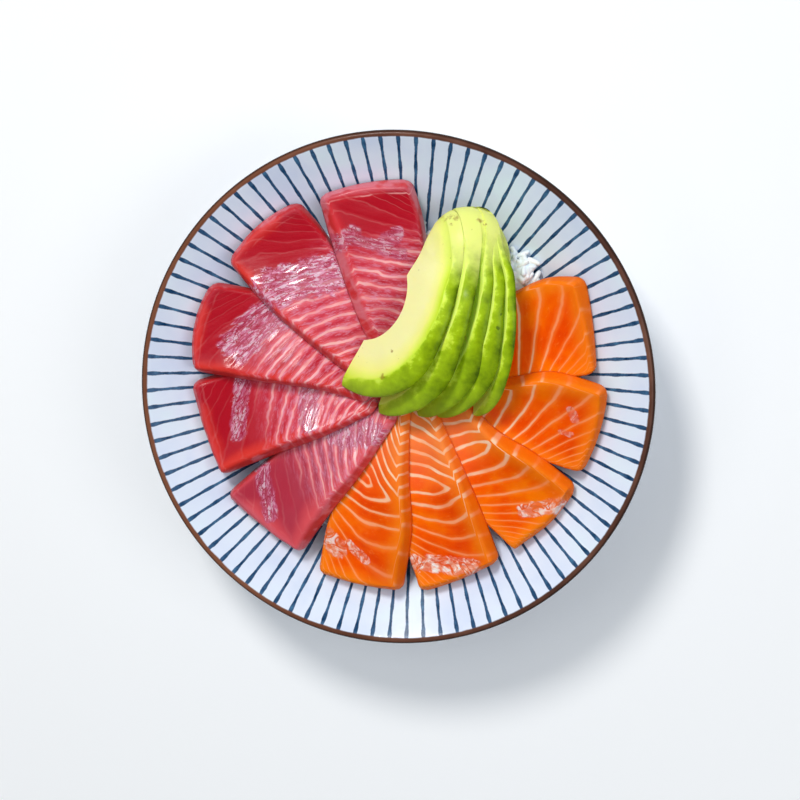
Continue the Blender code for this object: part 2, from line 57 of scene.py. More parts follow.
# Camera: its place and the point of the rim plane that it looks at.
RIM_PLANE = 48.2
CAMERA_PLACE = (118.9, 123.4, 800.0 + RIM_PLANE)
CAMERA_AIM = (2.4, -3.5, RIM_PLANE)
LENS = 91.03
SENSOR = 36.0

# The sky's middle, and how strong it is from there outward: the share of a quarter turn, and the
# share of the top strength. It grows towards the lean.
SKY_CENTRE = (-0.137, -0.149, 0.979)
SKY_STRENGTHS = ((0.0, 0.06), (0.17, 0.08), (0.27, 0.8), (0.36, 1.0), (0.46, 0.4), (0.6, 0.2), (1.0, 0.16))
SKY_TOP_STRENGTH = 1.29
SKY_LEAN = (-0.03, 0.8, 0.0)
SKY_COLOUR = (0.88, 0.94, 1.0, 1.0)
# Each lamp's direction, and its distance and width in metres, its power and its colour.
LAMPS = {
    "key": ((-0.26, 0.78, 1.0), 1.7, 0.42, 15.2, (1.0, 0.99, 0.97)),
    "fill": ((0.85, -0.05, 1.0), 1.8, 0.9, 6.0, (0.93, 0.96, 1.0)),
}
FLOOR_REACH = 3000.0

# Bowl, as in the solids
RIM_RADIUS = 105.0
BOWL_HEIGHT = 50.0
WALL = 3.6
FLOOR_WALL = 5.0
LIP_RADIUS = WALL / 2
FLOOR_HEIGHT = 13.0
WALL_SLOPE = 0.62
WALL_START = 43.0
WALL_BEND = 8.0
FOOT_RADIUS = 48.2
FOOT_WIDTH = 4.8
FOOT_TOP = 11.5
FOOT_ROUNDING = 0.8
FOOT_SLANT = 0.6
FOOT_RECESS = 7.4
FOOT_RECESS_DOME = 0.4
BOWL_SEGMENTS = 256
STRIPES = 90
FIRST_STRIPE = 4.95  # degrees
STRIPE_HALF_WIDTH = 0.56
# Each stripe has three knots: how far from the centre, and how much wider they are to each side.
KNOTS = ((100.6, 0.34), (89.6, 0.2), (78.6, 0.2))
KNOT_LENGTH = 2.1
BAND_RADIUS = 102.35  # where the brown rim band ends, inside

# Rice, as in the solids
RICE_RADIUS = 71.0
RICE_EDGE = 31.5
RICE_TOP = 38.5
RICE_UNEVEN = 0.5
RICE_EDGE_UNEVEN = 1.0
GRAIN_LENGTH = 6.0
GRAIN_WIDTH = 2.6
GRAIN_TRIES = 6600
WARM_GRAINS = 0.012  # the share of grains with a warm colour
# A grain is left out where slices cover all of these places round it.
COVER_TESTS = ((0, 0, 0), (5, 0, 0), (-5, 0, 0), (0, 5, 0), (0, -5, 0))
# The heap rises and spreads a little beside the avocado, at this place.
HEAP_PLACE = (52.0, 50.0)
HEAP_RISE = 5.5
HEAP_SPREAD = 7.5
# At this bearing, left of the avocado's stem, the heap ends further in.
BARE_BEARING = 1.36
BARE_WIDTH = 7.0

# Fish, as in the solids
FISH_THICKNESS = 7.2
FISH_TIP_SHARE = 0.35
FISH_TIP_REACH = 0.4
END_SLANT = 0.015
SLANT_BACK = 0.6
MOST_SLANT = 0.2
CROWN_START = 0.6
OUTER_CORNER = 3.6
INNER_CORNER = 3.0
EDGE_RADIUS = 1.5
ROWS = 100
COLUMNS = 46


class Lines(NamedTuple):
    """The lines in the flesh of a slice, which nest round a heart."""

    heart: float  # how far along the slice it lies
    reach: float  # how far across, from the clockwise side, as a share
    tips: float  # the step of the lines' tips beyond that, as a share
    inner: float  # the spacing of the lines inward of the heart
    outer: float  # and outward of it
    lean: float  # how far a line shifts outward from side to side
    fan: float  # how fast the lean grows with each millimetre beyond fan_from
    fan_from: float
    shift: float  # of all lines, in spacings


class Slice(NamedTuple):
    """A slice of fish."""

    cw: tuple  # its clockwise side on the ground plan, from the inner to the outer end
    ccw: tuple  # and its counterclockwise side
    slant: float  # how wide its slanted side is
    bulge: float  # how far the middle of its outer end stands out
    reach_in: float  # how far it goes on inward past the solid's end, under the avocado
    lines: Lines
    wet: tuple  # the strokes that shine: along, share across, the same at the end, half the width


FISH = {
    "tuna_1": Slice(
        ((8, 12), (13, 40), (11, 66), (6, 85)), ((-6, 10), (-15, 29), (-25, 56), (-32, 78)),
        2.2, 2.0, 0.0, Lines(-6, 9, 1, 4.6, 4.6, 13, 1.4, 43, 0.1),
        ((50, 0.95, 52, 0.78, 3.6), (46, 0.45, 48, 0.3, 3.2), (40, 0.28, 50, 0.8, 2.2)),
    ),
    "tuna_2": Slice(
        ((-5, 12), (-15, 38), (-28, 61), (-40, 76)), ((-12, 2), (-30, 15), (-52, 33), (-69, 51)),
        0.8, 3.5, 0.0, Lines(-6, 9, 1, 4.8, 4.8, 17, 1.3, 42, 0.5),
        ((36, 0.08, 53, 0.9, 6.5),),
    ),
    "tuna_3": Slice(
        ((-10, 8), (-32, 26), (-54, 38), (-76, 43)), ((-12, -5), (-34, 0), (-61, 3), (-84, 6)),
        0.8, 4.0, 1.5, Lines(-6, 9, 1, 4.9, 4.9, 18, 1.3, 42, 0.3),
        ((40, 0.05, 54, 0.65, 7.0),),
    ),
    "tuna_4": Slice(
        ((-10, -1), (-34, 6), (-60, 8), (-86, 1)), ((-12, -11), (-30, -20), (-50, -28), (-73, -38)),
        0.4, 1.5, 4.5, Lines(-6, 9, 1, 5.2, 5.2, 12, 1.0, 36, 0.6),
        ((51, 0.12, 57, 0.68, 3.2), (25, 0.25, 27, 0.8, 4.0)),
    ),
    "tuna_5": Slice(
        ((-3, -5), (-26, -15), (-48, -26), (-72, -46)), ((1, -12), (-14, -35), (-27, -52), (-40, -70)),
        0.8, 1.5, 1.5, Lines(-6, 9, 1, 5.2, 5.2, 11, 0.8, 42, 0.3),
        ((58, 0.02, 68, 0.52, 2.8), (22, 0.3, 12, 0.6, 6.0)),
    ),
    "salmon_1": Slice(
        ((32, 4), (48, 3), (64, 4), (81, 8)), ((34, 30), (48, 40), (61, 46), (76, 47)),
        0.4, 1.0, 0.0, Lines(8, 0.75, 0.4, 4.6, 4.6, 0, 2.0, 17, 0.0),
        (),
    ),
    "salmon_2": Slice(
        ((22, -6), (42, -18), (60, -28), (76, -33)), ((24, 4), (45, 6), (64, 9), (86, 3)),
        0.6, 2.0, 0.0, Lines(8, 0.75, 0.4, 4.9, 4.9, 8, 1.4, 17, 0.06),
        ((48, 0.7, 51, 0.58, 1.5), (46, 0.41, 50, 0.41, 1.2)),
    ),
    "salmon_3": Slice(
        ((12, -3), (23, -32), (35, -53), (48, -65)), ((22, 4), (40, -14), (58, -25), (74, -38)),
        1.0, 3.5, 0.0, Lines(20.5, 0.72, 0.3, 4.3, 4.7, 7, 1.5, 24, 0.42),
        ((57, 0.45, 66, 0.78, 3.2),),
    ),
    "salmon_4": Slice(
        ((6, -5), (1, -36), (3, -62), (10, -85)), ((15, -4), (28, -31), (36, -50), (43, -70)),
        1.4, 1.5, 0.0, Lines(27.4, 0.55, 0.3, 4.3, 4.6, 6, 1.5, 33, 0.25),
        ((61, 0.06, 71, 0.72, 3.6),),
    ),
    "salmon_5": Slice(
        ((-2, -4), (-17, -34), (-28, -54), (-33, -78)), ((6, -7), (6, -34), (7, -58), (3, -84)),
        1.2, 1.5, 0.0, Lines(26.3, 0.39, 0.28, 4.4, 5.2, 16, 1.5, 42, 0.6),
        ((60, 0.02, 64, 0.2, 4.2), (61, 0.32, 66, 0.56, 1.8)),
    ),
}
TIP_POWER = 1.35  # how round the lines are at their tips
# How far a line turns back inward on the slanted side, which it does fully from HOOK_SPAN outward.
HOOKS = {"tuna": 2.0, "salmon": 10.0}
HOOK_SPAN = 40.0
# How high the flesh swells between its lines.
SWELLS = {"tuna": 0.4, "salmon": 0.3}


class TunaLook(NamedTuple):
    """Colours of a slice of tuna, and how much of each shows."""

    painted_highlight: float  # of the painted wet highlight
    end_pink: float  # of the pink at the outer end
    end_line: float  # and of the pale line before that
    outer_lines: float  # of the lines in the outer half
    fleck: float  # the less, the more pale flecks on the sides
    painted_glow_reach: float  # how far the painted glow at the border, light through the thin flesh, goes in
    flesh: tuple = (206, 52, 72)
    core: tuple = (178, 8, 30)
    # The glow colour is a painted glow: the orange-red of light through thin flesh.
    painted_glow: tuple = (224, 54, 42)


TUNA_LOOKS = {
    1: TunaLook(0.42, 0.65, 0.7, 0.1, 0.42, 10.5, painted_glow=(214, 48, 56)),
    2: TunaLook(0.7, 0.2, 0.0, 0.1, 0.54, 10.5),
    3: TunaLook(0.62, 0.15, 0.0, 0.06, 0.54, 10.5),
    4: TunaLook(0.55, 0.2, 0.05, 0.06, 0.54, 10.5),
    5: TunaLook(0.62, 0.6, 0.0, 0.06, 0.54, 14.0, (178, 72, 94), (180, 46, 66), (226, 84, 90)),
}
# Salmon: how much of the painted wet highlight shows, how pale the inner end is, and half a line's width
# there, in spacings.
SALMON_LOOKS = {
    1: (0.0, 0.0, 0.02),
    2: (0.3, 0.1, 0.03),
    3: (0.75, 0.4, 0.085),
    4: (1.0, 0.45, 0.095),
    5: (0.75, 0.35, 0.088),
}

# Avocado, as in the solids
AVOCADO_LENGTH = 86.0
AVOCADO_WIDTH = 27.0
AVOCADO_FLAT_THICKNESS = 2.0
AVOCADO_STEM_REACH = 0.7
PIT_RADIUS = 18.0
PIT_PLACE = 0.44
PIT_SINK = 7.0
NECK_BOW = 3.5


class Wedge(NamedTuple):
    """A slice of avocado, as in the solids, and how far its skin is moved in the scene."""

    stem: tuple  # where its stem end lies
    heading: float  # degrees, as are the next two
    lean: float
    dip: float
    long: float  # shares of the avocado's length and width
    wide: float
    full: float  # how much fuller it is at the blossom end
    thick: float  # at the skin
    flare: float  # how far the skin stands out at its lower edge
    stem_flare: tuple  # how far the skin moves out and down near the stem
    tip_flare: tuple  # and near the blossom end


AVOCADO = {
    "avocado_1": Wedge((17.5, 74), 241, 42, 1, 0.91, 1.12, 0.2, 4.6, 3.5, (2.0, 1.5), (0.6, 1.8)),
    "avocado_2": Wedge((21, 72), 250.5, 52, 3, 0.96, 1.12, -0.05, 5.2, 3.5, (2.6, 2.6), (1.3, 3.2)),
    "avocado_3": Wedge((28.5, 73.5), 256.5, 55, 4, 0.98, 1.05, -0.02, 4.6, 2.0, (1.2, 1.0), (1.3, 3.2)),
    "avocado_4": Wedge((30, 73), 261, 54, 5, 0.97, 1.1, 0.0, 4.4, 1.5, (1.0, 1.0), (1.0, 3.0)),
    "avocado_5": Wedge((32, 74), 270, 56, 6, 0.97, 1.02, 0.03, 3.8, 0.8, (0.0, 0.0), (0.0, 0.0)),
}
STEM_THICKNESS = 0.8  # in the scene the slices stay thicker towards the stem, where they hang together
STEM_FLARE_REACH = 0.42
TIP_FLARE_START = 0.3
# Near the blossom end the upper edge of the skin is drawn in: how far, and over which shares.
SKIN_INSET = 3.2
SKIN_INSET_SPAN = (0.4, 0.85)
# Rows of the skin from its upper to its lower edge, and how far each is drawn in.
SKIN_LEVELS = (0.0, 0.06, 0.16, 0.32, 0.5, 0.68, 0.84, 1.0)
SKIN_DIPS = (0.35, 0.08, 0.0, 0.0, 0.0, 0.0, 0.1, 0.3)
# At the stem all slices lie on one dome: its centre, its radii, its reach to the near side, how deep
# it goes below its centre, and over which distances from the stem a slice leaves its top and its
# underside.
DOME_CENTRE = (29.5, 51.0, 46.5)
DOME_RADII = (19.7, 24.0, 14.5)
DOME_BACK = 9.0
DOME_DEPTH = 6.5
DOME_SPANS = ((9.0, 28.0), (10.0, 24.0))
AVOCADO_ROWS = 90
AVOCADO_COLUMNS = 22
# Marks on the avocado: place and radius.
BROWN, BROWN_MARKS = (150, 116, 34), (
    ((1.2, 18.3, 62.1), 0.9),
    ((21.7, 55.7, 61.2), 0.8),
    ((10.7, 50.0, 55.4), 0.6),
    ((-2.5, 8.1, 63.9), 1.6),
    ((18.5, 72.0, 51.0), 2.4),
    ((20.5, 70.5, 54.0), 1.8),
    ((22.5, 72.0, 54.0), 2.4),
    ((25.5, 71.5, 55.0), 2.2),
    ((23.5, 68.5, 56.5), 1.2),
    ((35.5, 70.0, 54.5), 1.8),
    ((37.0, 68.5, 55.0), 1.2),
)
DARK_GREEN, DARK_MARKS = (70, 96, 6), (
    ((25.5, 57.0, 61.8), 1.1),
    ((43.7, 28.7, 66.0), 0.9),
    ((45.0, 34.0, 65.5), 0.8),
    ((45.5, 46.0, 61.0), 1.0),
)
# The cut flesh from the skin inward: on the face that lies open, and between the slices, where it is brighter
# and limer than on the open face: painted light on faces that lie in shade.
CUT_FACE = (
    (0.0, 190, 218, 40),
    (0.12, 212, 234, 66),
    (0.3, 232, 244, 104),
    (0.5, 250, 247, 142),
    (1.0, 255, 248, 174),
)
COVERED_FACE_PAINTED_LIGHT = ((0.0, 232, 252, 120), (0.15, 226, 250, 104), (0.5, 220, 248, 92), (1.0, 226, 246, 110))


# ---- materials ----


class Value:
    """What a node puts out, with the usual arithmetic."""

    def __init__(self, nodes, socket):
        self.nodes, self.socket = nodes, socket

    def __add__(self, other):
        return self.nodes.math("ADD", self, other)

    def __sub__(self, other):
        return self.nodes.math("SUBTRACT", self, other)

    def __rsub__(self, other):
        return self.nodes.math("SUBTRACT", other, self)

    def __mul__(self, other):
        return self.nodes.math("MULTIPLY", self, other)

    def __abs__(self):
        return self.nodes.math("ABSOLUTE", self)


class Nodes:
    """A node tree, built from short calls."""

    def __init__(self, tree):
        self.tree = tree

    def node(self, kind, **settings):
        made = self.tree.nodes.new(kind)
        for key, value in settings.items():
            setattr(made, key, value)
        return made

    def put(self, socket, value):
        if isinstance(value, Value):
            self.tree.links.new(value.socket, socket)
        else:
            socket.default_value = value

    def fill(self, made, inputs, output=0):
        """Puts these values into a node and returns what it puts out."""
        for key, value in inputs.items():
            self.put(made.inputs[key], value)
        return Value(self, made.outputs[output])

    def math(self, operation, *values):
        return self.fill(self.node("ShaderNodeMath", operation=operation), dict(enumerate(values)))

    def vector(self, operation, first, second, output=0):
        made = self.node("ShaderNodeVectorMath", operation=operation)
        return self.fill(made, {0: first, 1: second}, output)

    def coordinates(self, output):
        return self.fill(self.node("ShaderNodeTexCoord"), {}, output)


class Paint(Nodes):
    """A material. Tints are laid one over another on its colour."""

    def __init__(self, name):
        self.material = bpy.data.materials.new(name)
        self.material.use_nodes = True
        super().__init__(self.material.node_tree)
        self.place = self.coordinates("Object")

    def attribute(self, name, output="Fac"):
        return self.fill(self.node("ShaderNodeAttribute", attribute_name=name), {}, output)

    def noise(self, scale, detail=2.0, rough=0.5, twist=0.0, at=None):
        inputs = {"Vector": at or self.place, "Scale": scale, "Detail": detail}
        inputs |= {"Roughness": rough, "Distortion": twist}
        return self.fill(self.node("ShaderNodeTexNoise"), inputs)

    def span(self, value, low, high, to_low=0.0, to_high=1.0):
        """Goes smoothly from to_low to to_high as the value goes from low to high."""
        made = self.node("ShaderNodeMapRange", interpolation_type="SMOOTHSTEP")
        return self.fill(made, dict(enumerate((value, low, high, to_low, to_high))))

    def mix(self, share, *colours):
        """From the first colour to the second, each a tuple or a node's value."""
        first, second = (linear(c) if isinstance(c, tuple) else c for c in colours)
        return self.fill(self.node("ShaderNodeMix", data_type="RGBA"), {0: share, 6: first, 7: second}, 2)

    def ramp(self, value, *stops):
        """Colours by the value: each stop is its place and its colour."""
        made = self.node("ShaderNodeValToRGB")
        elements = made.color_ramp.elements
        while len(elements) < len(stops):
            elements.new(0.5)
        for element, (place, *colour) in zip(elements, stops):
            element.position = place
            element.color = linear(colour)
        return self.fill(made, {0: value})

    def lay(self, tint, share):
        self.colour = self.mix(share, self.colour, tint)

    def bump(self, height, strength, distance, under=None):
        inputs = {"Height": height, "Strength": strength, "Distance": distance}
        if under:
            inputs["Normal"] = under
        return self.fill(self.node("ShaderNodeBump"), inputs)

    def finish(self, relief, settings):
        shader = self.tree.nodes["Principled BSDF"]
        self.fill(shader, {"Base Color": self.colour, "Normal": relief, **settings})
        return self.material


def linear(colour):
    """A screen colour as the linear numbers that a shader takes."""
    shares = [value / 255.0 for value in colour]
    return (*(s / 12.92 if s <= 0.04045 else ((s + 0.055) / 1.055) ** 2.4 for s in shares), 1.0)


# ---- camera, light and floor ----


def make_camera():
    place = Vector(CAMERA_PLACE) * MM
    back = (place - Vector(CAMERA_AIM) * MM).normalized()
    right = Vector((0.0, 1.0, 0.0)).cross(back).normalized()
    turn = Matrix((right, back.cross(right), back)).transposed().to_4x4()
    camera = bpy.data.objects.new("camera", bpy.data.cameras.new("camera"))
    scene.collection.objects.link(camera)
    camera.matrix_world = Matrix.Translation(place) @ turn
    camera.data.lens = LENS
    camera.data.sensor_width = SENSOR
    camera.data.clip_start = 0.01
    camera.data.clip_end = 20.0
    scene.camera = camera


def make_lamp(name, direction, distance, size, power, colour):
    """A round lamp that looks at the bowl."""
    light = bpy.data.lights.new(name, "AREA")
    light.shape = "DISK"
    light.size = size
    light.energy = power
    light.color = colour
    lamp = bpy.data.objects.new(name, light)
    scene.collection.objects.link(lamp)
    lamp.location = Vector(direction).normalized() * distance
    lamp.rotation_euler = lamp.location.to_track_quat("Z", "Y").to_euler()


def make_sky():
    """A studio sky, dark overhead with a bright ring round that."""
    scene.world = bpy.data.worlds.new("studio")
    scene.world.use_nodes = True
    sky = Nodes(scene.world.node_tree)
    direction = sky.coordinates("Generated")
    from_centre = sky.math("ARCCOSINE", sky.vector("DOT_PRODUCT", direction, SKY_CENTRE, "Value"))
    profile = sky.node("ShaderNodeFloatCurve")
    points = profile.mapping.curves[0].points
    points[0].location, points[1].location = SKY_STRENGTHS[0], SKY_STRENGTHS[-1]
    for place in SKY_STRENGTHS[1:-1]:
        points.new(*place)
    profile.mapping.update()
    strength = sky.fill(profile, {"Value": from_centre * (2.0 / math.pi)})
    lean = sky.vector("DOT_PRODUCT", direction, SKY_LEAN, "Value")
    strength = strength * (lean * SKY_TOP_STRENGTH + SKY_TOP_STRENGTH)
    sky.fill(sky.tree.nodes["Background"], {"Strength": strength, "Color": SKY_COLOUR})


def make_floor():
    corners = [(x * FLOOR_REACH, y * FLOOR_REACH, 0.0) for x, y in ((-1, -1), (1, -1), (1, 1), (-1, 1))]
    floor = mesh_object("floor", corners, [(0, 1, 2, 3)])
    paint = Paint("floor_white")
    shader = paint.tree.nodes["Principled BSDF"]
    paint.fill(shader, {"Base Color": (0.98, 0.98, 0.98, 1.0), "Roughness": 0.9})
    floor.data.materials.append(paint.material)


# ---- meshes ----


def mesh_object(name, points, faces, attributes=()):
    """A mesh of points in millimetres, with float or vector attributes on its points."""
    mesh = bpy.data.meshes.new(name)
    mesh.from_pydata((np.asarray(points) * MM).tolist(), [], [tuple(face) for face in faces])
    for key, values in dict(attributes).items():
        values = np.asarray(values, np.float32)
        kind = "FLOAT" if values.ndim == 1 else "FLOAT_VECTOR"
        layer = mesh.attributes.new(key, kind, "POINT")
        layer.data.foreach_set("value" if kind == "FLOAT" else "vector", values.ravel())
    mesh.shade_smooth()
    piece = bpy.data.objects.new(name, mesh)
    scene.collection.objects.link(piece)
    return piece


def dress(piece, node, material):
    piece.data.materials.append(material)
    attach(piece, "root")
    if node:
        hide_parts(node)


def node_tree(name):
    """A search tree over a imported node, in millimetres."""
    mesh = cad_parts[name].data
    mesh.calc_loop_triangles()
    points = [vertex.co / MM for vertex in mesh.vertices]
    return BVHTree.FromPolygons(points, [tuple(t.vertices) for t in mesh.loop_triangles])


def grid_faces(rows, columns, start=0, flip=False):
    faces = []
    for i in range(rows - 1):
        for j in range(columns - 1):
            a = start + i * columns + j
            face = (a, a + columns, a + columns + 1, a + 1)
            faces.append(face[::-1] if flip else face)
    return faces


def ring_faces(loops):
    faces = []
    for upper, lower in zip(loops, loops[1:]):
        for k in range(len(upper)):
            m = (k + 1) % len(upper)
            faces.append((upper[k], lower[k], lower[m], upper[m]))
    return faces


def round_body(rings, first, last):
    """Points and faces of a closed body of rings, with one point in the middle of each end."""
    around = len(rings[0])
    points = [point for ring in rings for point in ring] + [first, last]
    loops = [range(k * around, (k + 1) * around) for k in range(len(rings))]
    faces = ring_faces(loops)
    for k in range(around):
        m = (k + 1) % around
        faces.append((len(points) - 2, k, m))
        faces.append((loops[-1][m], loops[-1][k], len(points) - 1))
    return points, faces


def tidy_mesh(mesh):
    """Merges points that coincide, drops faces without area and turns all faces outward."""
    bm = bmesh.new()
    bm.from_mesh(mesh)
    bmesh.ops.remove_doubles(bm, verts=bm.verts, dist=0.04 * MM)
    bmesh.ops.dissolve_degenerate(bm, edges=bm.edges, dist=0.01 * MM)
    bmesh.ops.recalc_face_normals(bm, faces=bm.faces)
    bm.to_mesh(mesh)
    bm.free()


def smooth_step(share):
    return share * share * (3.0 - 2.0 * share)


def unit(vectors):
    return vectors / np.linalg.norm(vectors, axis=-1, keepdims=True)


def blur(values, rounds):
    """Evens out a grid, keeping its borders where they are on average."""
    for _ in range(rounds):
        padded = np.pad(values, 1, mode="reflect", reflect_type="odd")
        values = (
            4 * values
            + 2 * (padded[2:, 1:-1] + padded[:-2, 1:-1] + padded[1:-1, 2:] + padded[1:-1, :-2])
            + padded[2:, 2:] + padded[:-2, 2:] + padded[2:, :-2] + padded[:-2, :-2]
        ) / 16.0
    return values


def swell(x, y, seed):
    """A smooth uneven field between about -1 and 1, from places in millimetres."""
    draw = random.Random(seed)
    total = np.zeros_like(x)
    for _ in range(6):
        turn = draw.uniform(0, math.tau)
        pitch = draw.uniform(0.12, 0.4)
        total += np.sin((x * math.cos(turn) + y * math.sin(turn)) * pitch + draw.uniform(0, math.tau))
    return total / 3.0


# ---- bowl ----


def inner_height(radius):
    return FLOOR_HEIGHT + WALL_SLOPE * WALL_BEND * np.log1p(np.exp((radius - WALL_START) / WALL_BEND))


def outer_point(radius):
    lean = math.atan(WALL_SLOPE / (1.0 + math.exp(-(radius - WALL_START) / WALL_BEND)))
    thickness = FLOOR_WALL + (WALL - FLOOR_WALL) * radius / RIM_RADIUS
    return radius + thickness * math.sin(lean), inner_height(radius) - thickness * math.cos(lean)


def bowl_profile():
    """Radius, height and 1 where the glaze is painted: the inside up, the lip, the outside down."""
    lip_r = RIM_RADIUS - LIP_RADIUS
    lip_z = BOWL_HEIGHT - LIP_RADIUS
    lean = math.degrees(math.atan(WALL_SLOPE))
    points = [(r, inner_height(r), 1.0) for r in np.linspace(0.0, 101.6, 52)]
    for degrees in np.linspace(90 + lean, lean - 90, 15):
        turn = math.radians(degrees)
        points.append((lip_r + LIP_RADIUS * math.cos(turn), lip_z + LIP_RADIUS * math.sin(turn), 1.0))
    points += [(*outer_point(r), 0.0) for r in np.linspace(99.0, 51.5, 24)]
    foot_outside = FOOT_RADIUS + FOOT_ROUNDING
    foot_inside = FOOT_RADIUS - FOOT_WIDTH
    recess = foot_inside - FOOT_ROUNDING - FOOT_SLANT
    foot = [
        (foot_outside + FOOT_SLANT, FOOT_TOP),
        (foot_outside + 0.2, 4.0),
        (foot_outside, FOOT_ROUNDING),
        (FOOT_RADIUS + 0.5, 0.25),
        (FOOT_RADIUS, 0.0),
        (foot_inside, 0.0),
        (foot_inside - 0.5, 0.25),
        (foot_inside - FOOT_ROUNDING, FOOT_ROUNDING),
        (recess, FOOT_RECESS - 0.6),
        (recess - 0.8, FOOT_RECESS),
        (20.0, FOOT_RECESS + FOOT_RECESS_DOME * 0.8),
        (0.0, FOOT_RECESS + FOOT_RECESS_DOME),
    ]
    return points + [(r, z, 0.0) for r, z in foot]


def make_bowl():
    profile = bowl_profile()
    turns = np.arange(BOWL_SEGMENTS) * math.tau / BOWL_SEGMENTS
    rings = [[(r * math.cos(t), r * math.sin(t), z) for t in turns] for r, z, _ in profile[1:-1]]
    body = round_body(rings, (0.0, 0.0, profile[0][1]), (0.0, 0.0, profile[-1][1]))
    inside = [*np.repeat([painted for _, _, painted in profile[1:-1]], BOWL_SEGMENTS), 1.0, 0.0]
    dress(mesh_object("bowl_glazed", *body, {"inside": inside}), "bowl", glaze_material())


def glaze_material():
    paint = Paint("glaze")
    split = paint.node("ShaderNodeSeparateXYZ")
    x, y, height = (paint.fill(split, {0: paint.place}, axis) for axis in "XYZ")
    radius = paint.math("SQRT", x * x + y * y) * (1.0 / MM)
    turns = paint.math("ARCTAN2", y, x) * (STRIPES / math.tau)
    turns = turns + (STRIPES + 0.5 - FIRST_STRIPE * STRIPES / 360.0)
    index = paint.math("FLOOR", turns)
    dice = paint.node("ShaderNodeTexWhiteNoise", noise_dimensions="1D")
    jitter = paint.fill(dice, {"W": index}, "Value") - 0.5
    # Hand wobble of each stroke, in millimetres, drawn along it.
    track = paint.fill(paint.node("ShaderNodeCombineXYZ"), {0: index * 7.31, 1: radius * 0.11})
    wobble = (paint.noise(1.0, at=track) - 0.5) * 0.7
    off_centre = paint.math("FRACT", turns) - 0.5
    across = abs(off_centre * (radius * (math.tau / STRIPES)) + wobble)
    half = STRIPE_HALF_WIDTH
    for knot, (at, grow) in enumerate(KNOTS):
        away = (radius - at + jitter * (1.6 + 0.6 * knot)) * (1.0 / KNOT_LENGTH)
        half = paint.math("EXPONENT", away * away * -1.0) * grow + half
    fringe = (paint.noise(900.0) - 0.5) * 0.25
    wash = paint.noise(260.0, 3.0, 0.6)
    stroke = paint.span(across + fringe - half, -0.13, 0.16, 1.0, 0.0)
    stroke = stroke * paint.span(paint.attribute("inside"), 0.4, 0.6) * paint.span(wash, 0.75, 0.2, 0.92, 1.0)
    ink = paint.ramp(wash, (0.3, 0, 50, 88), (0.55, 0, 72, 116), (0.75, 4, 106, 148))
    mottle = paint.noise(38.0, 3.0, 0.55)
    paint.colour = paint.ramp(mottle, (0.3, 214, 226, 248), (0.5, 226, 236, 252), (0.7, 226, 243, 252))
    paint.lay(ink, stroke)
    # The brown rim band: uneven below, lighter on the left, and darker towards the outer edge of the lip.
    edge = (paint.noise(120.0, 3.0, 0.6) - 0.5) * 0.7 + radius
    band = paint.span(edge, BAND_RADIUS - 0.25, BAND_RADIUS + 0.3)
    burn = paint.noise(22.0, 4.0, 0.65)
    brown = paint.ramp(burn, (0.32, 56, 34, 28), (0.5, 92, 58, 46), (0.68, 120, 80, 64))
    brown = paint.mix(paint.span(x, 0.03, -0.08, 0.0, 0.5), brown, (146, 88, 60))
    lip = paint.span(radius, RIM_RADIUS - 1.3, RIM_RADIUS - 0.4, 0.0, 0.85)
    paint.lay(paint.mix(lip, brown, (44, 26, 20)), band)
    # The unglazed ring that the bowl stands on.
    bare = paint.span(height, 1.2 * MM, 0.6 * MM)
    grit = paint.noise(700.0, 4.0, 0.7)
    paint.lay(paint.ramp(grit, (0.3, 196, 184, 168), (0.7, 222, 212, 198)), bare)
    relief = paint.bump(grit, 0.05, 0.0002, paint.bump(paint.noise(55.0), 0.25, 0.0006))
    settings = {"Specular IOR Level": 0.08, "Coat Weight": 0.05, "Coat Roughness": 0.05}
    return paint.finish(relief, {"Roughness": bare * 0.55 + 0.13 + band * 0.1, **settings})


# ---- rice ----


def rice_surface(radius, bearing):
    share = np.minimum(radius / RICE_RADIUS, 1.0)
    dome = RICE_EDGE + (RICE_TOP - RICE_EDGE) * (1.0 - share**3)
    return dome + RICE_UNEVEN * (np.sin(3 * bearing + 1.0) * share + np.sin(5 * bearing + radius / 9.0))


def heap_rise(radius, bearing):
    """How much higher the heap is beside the avocado than in the solids."""
    x, y = radius * np.cos(bearing) - HEAP_PLACE[0], radius * np.sin(bearing) - HEAP_PLACE[1]
    return HEAP_RISE * np.exp(-(x**2 + y**2) / (2 * HEAP_SPREAD**2))


def heap_edge(bearing):
    """The heap's radius: as in the solids, wider beside the avocado and narrower left of its stem."""
    bearing = np.asarray(bearing)
    edge = RICE_RADIUS + RICE_EDGE_UNEVEN * (np.sin(4 * bearing + 0.6) + 0.6 * np.sin(9 * bearing))
    heap_bearing = math.atan2(HEAP_PLACE[1], HEAP_PLACE[0])
    for middle, width, more in ((heap_bearing, 0.13, HEAP_RISE), (BARE_BEARING, 0.16, -BARE_WIDTH)):
        off = (bearing - middle + math.pi) % math.tau - math.pi
        edge = edge + more * np.exp(-((off / width) ** 2))
    return edge


def make_rice_bed(material):
    """The heap under the grains, a little lower than they are."""
    segments = 120
    bearings = np.arange(segments) * math.tau / segments
    shares = [(s, True) for s in (0.1, 0.25, 0.4, 0.55, 0.7, 0.82, 0.9, 0.95)]
    shares += [(s, False) for s in (0.955, 0.9, 0.7, 0.4, 0.1)]
    rings = []
    for share, top in shares:
        radii = share * heap_edge(bearings)
        rise = rice_surface(radii, bearings) + heap_rise(radii, bearings) * (1.0 + 0.8 / HEAP_RISE)
        heights = rise + 0.1 if top else inner_height(radii) + 0.6
        rings.append(list(zip(radii * np.cos(bearings), radii * np.sin(bearings), heights)))
    body = round_body(rings, (0.0, 0.0, rice_surface(0.0, 0.0) + 0.1), (0.0, 0.0, FLOOR_HEIGHT + 0.6))
    dress(mesh_object("rice_bed", *body), None, material)


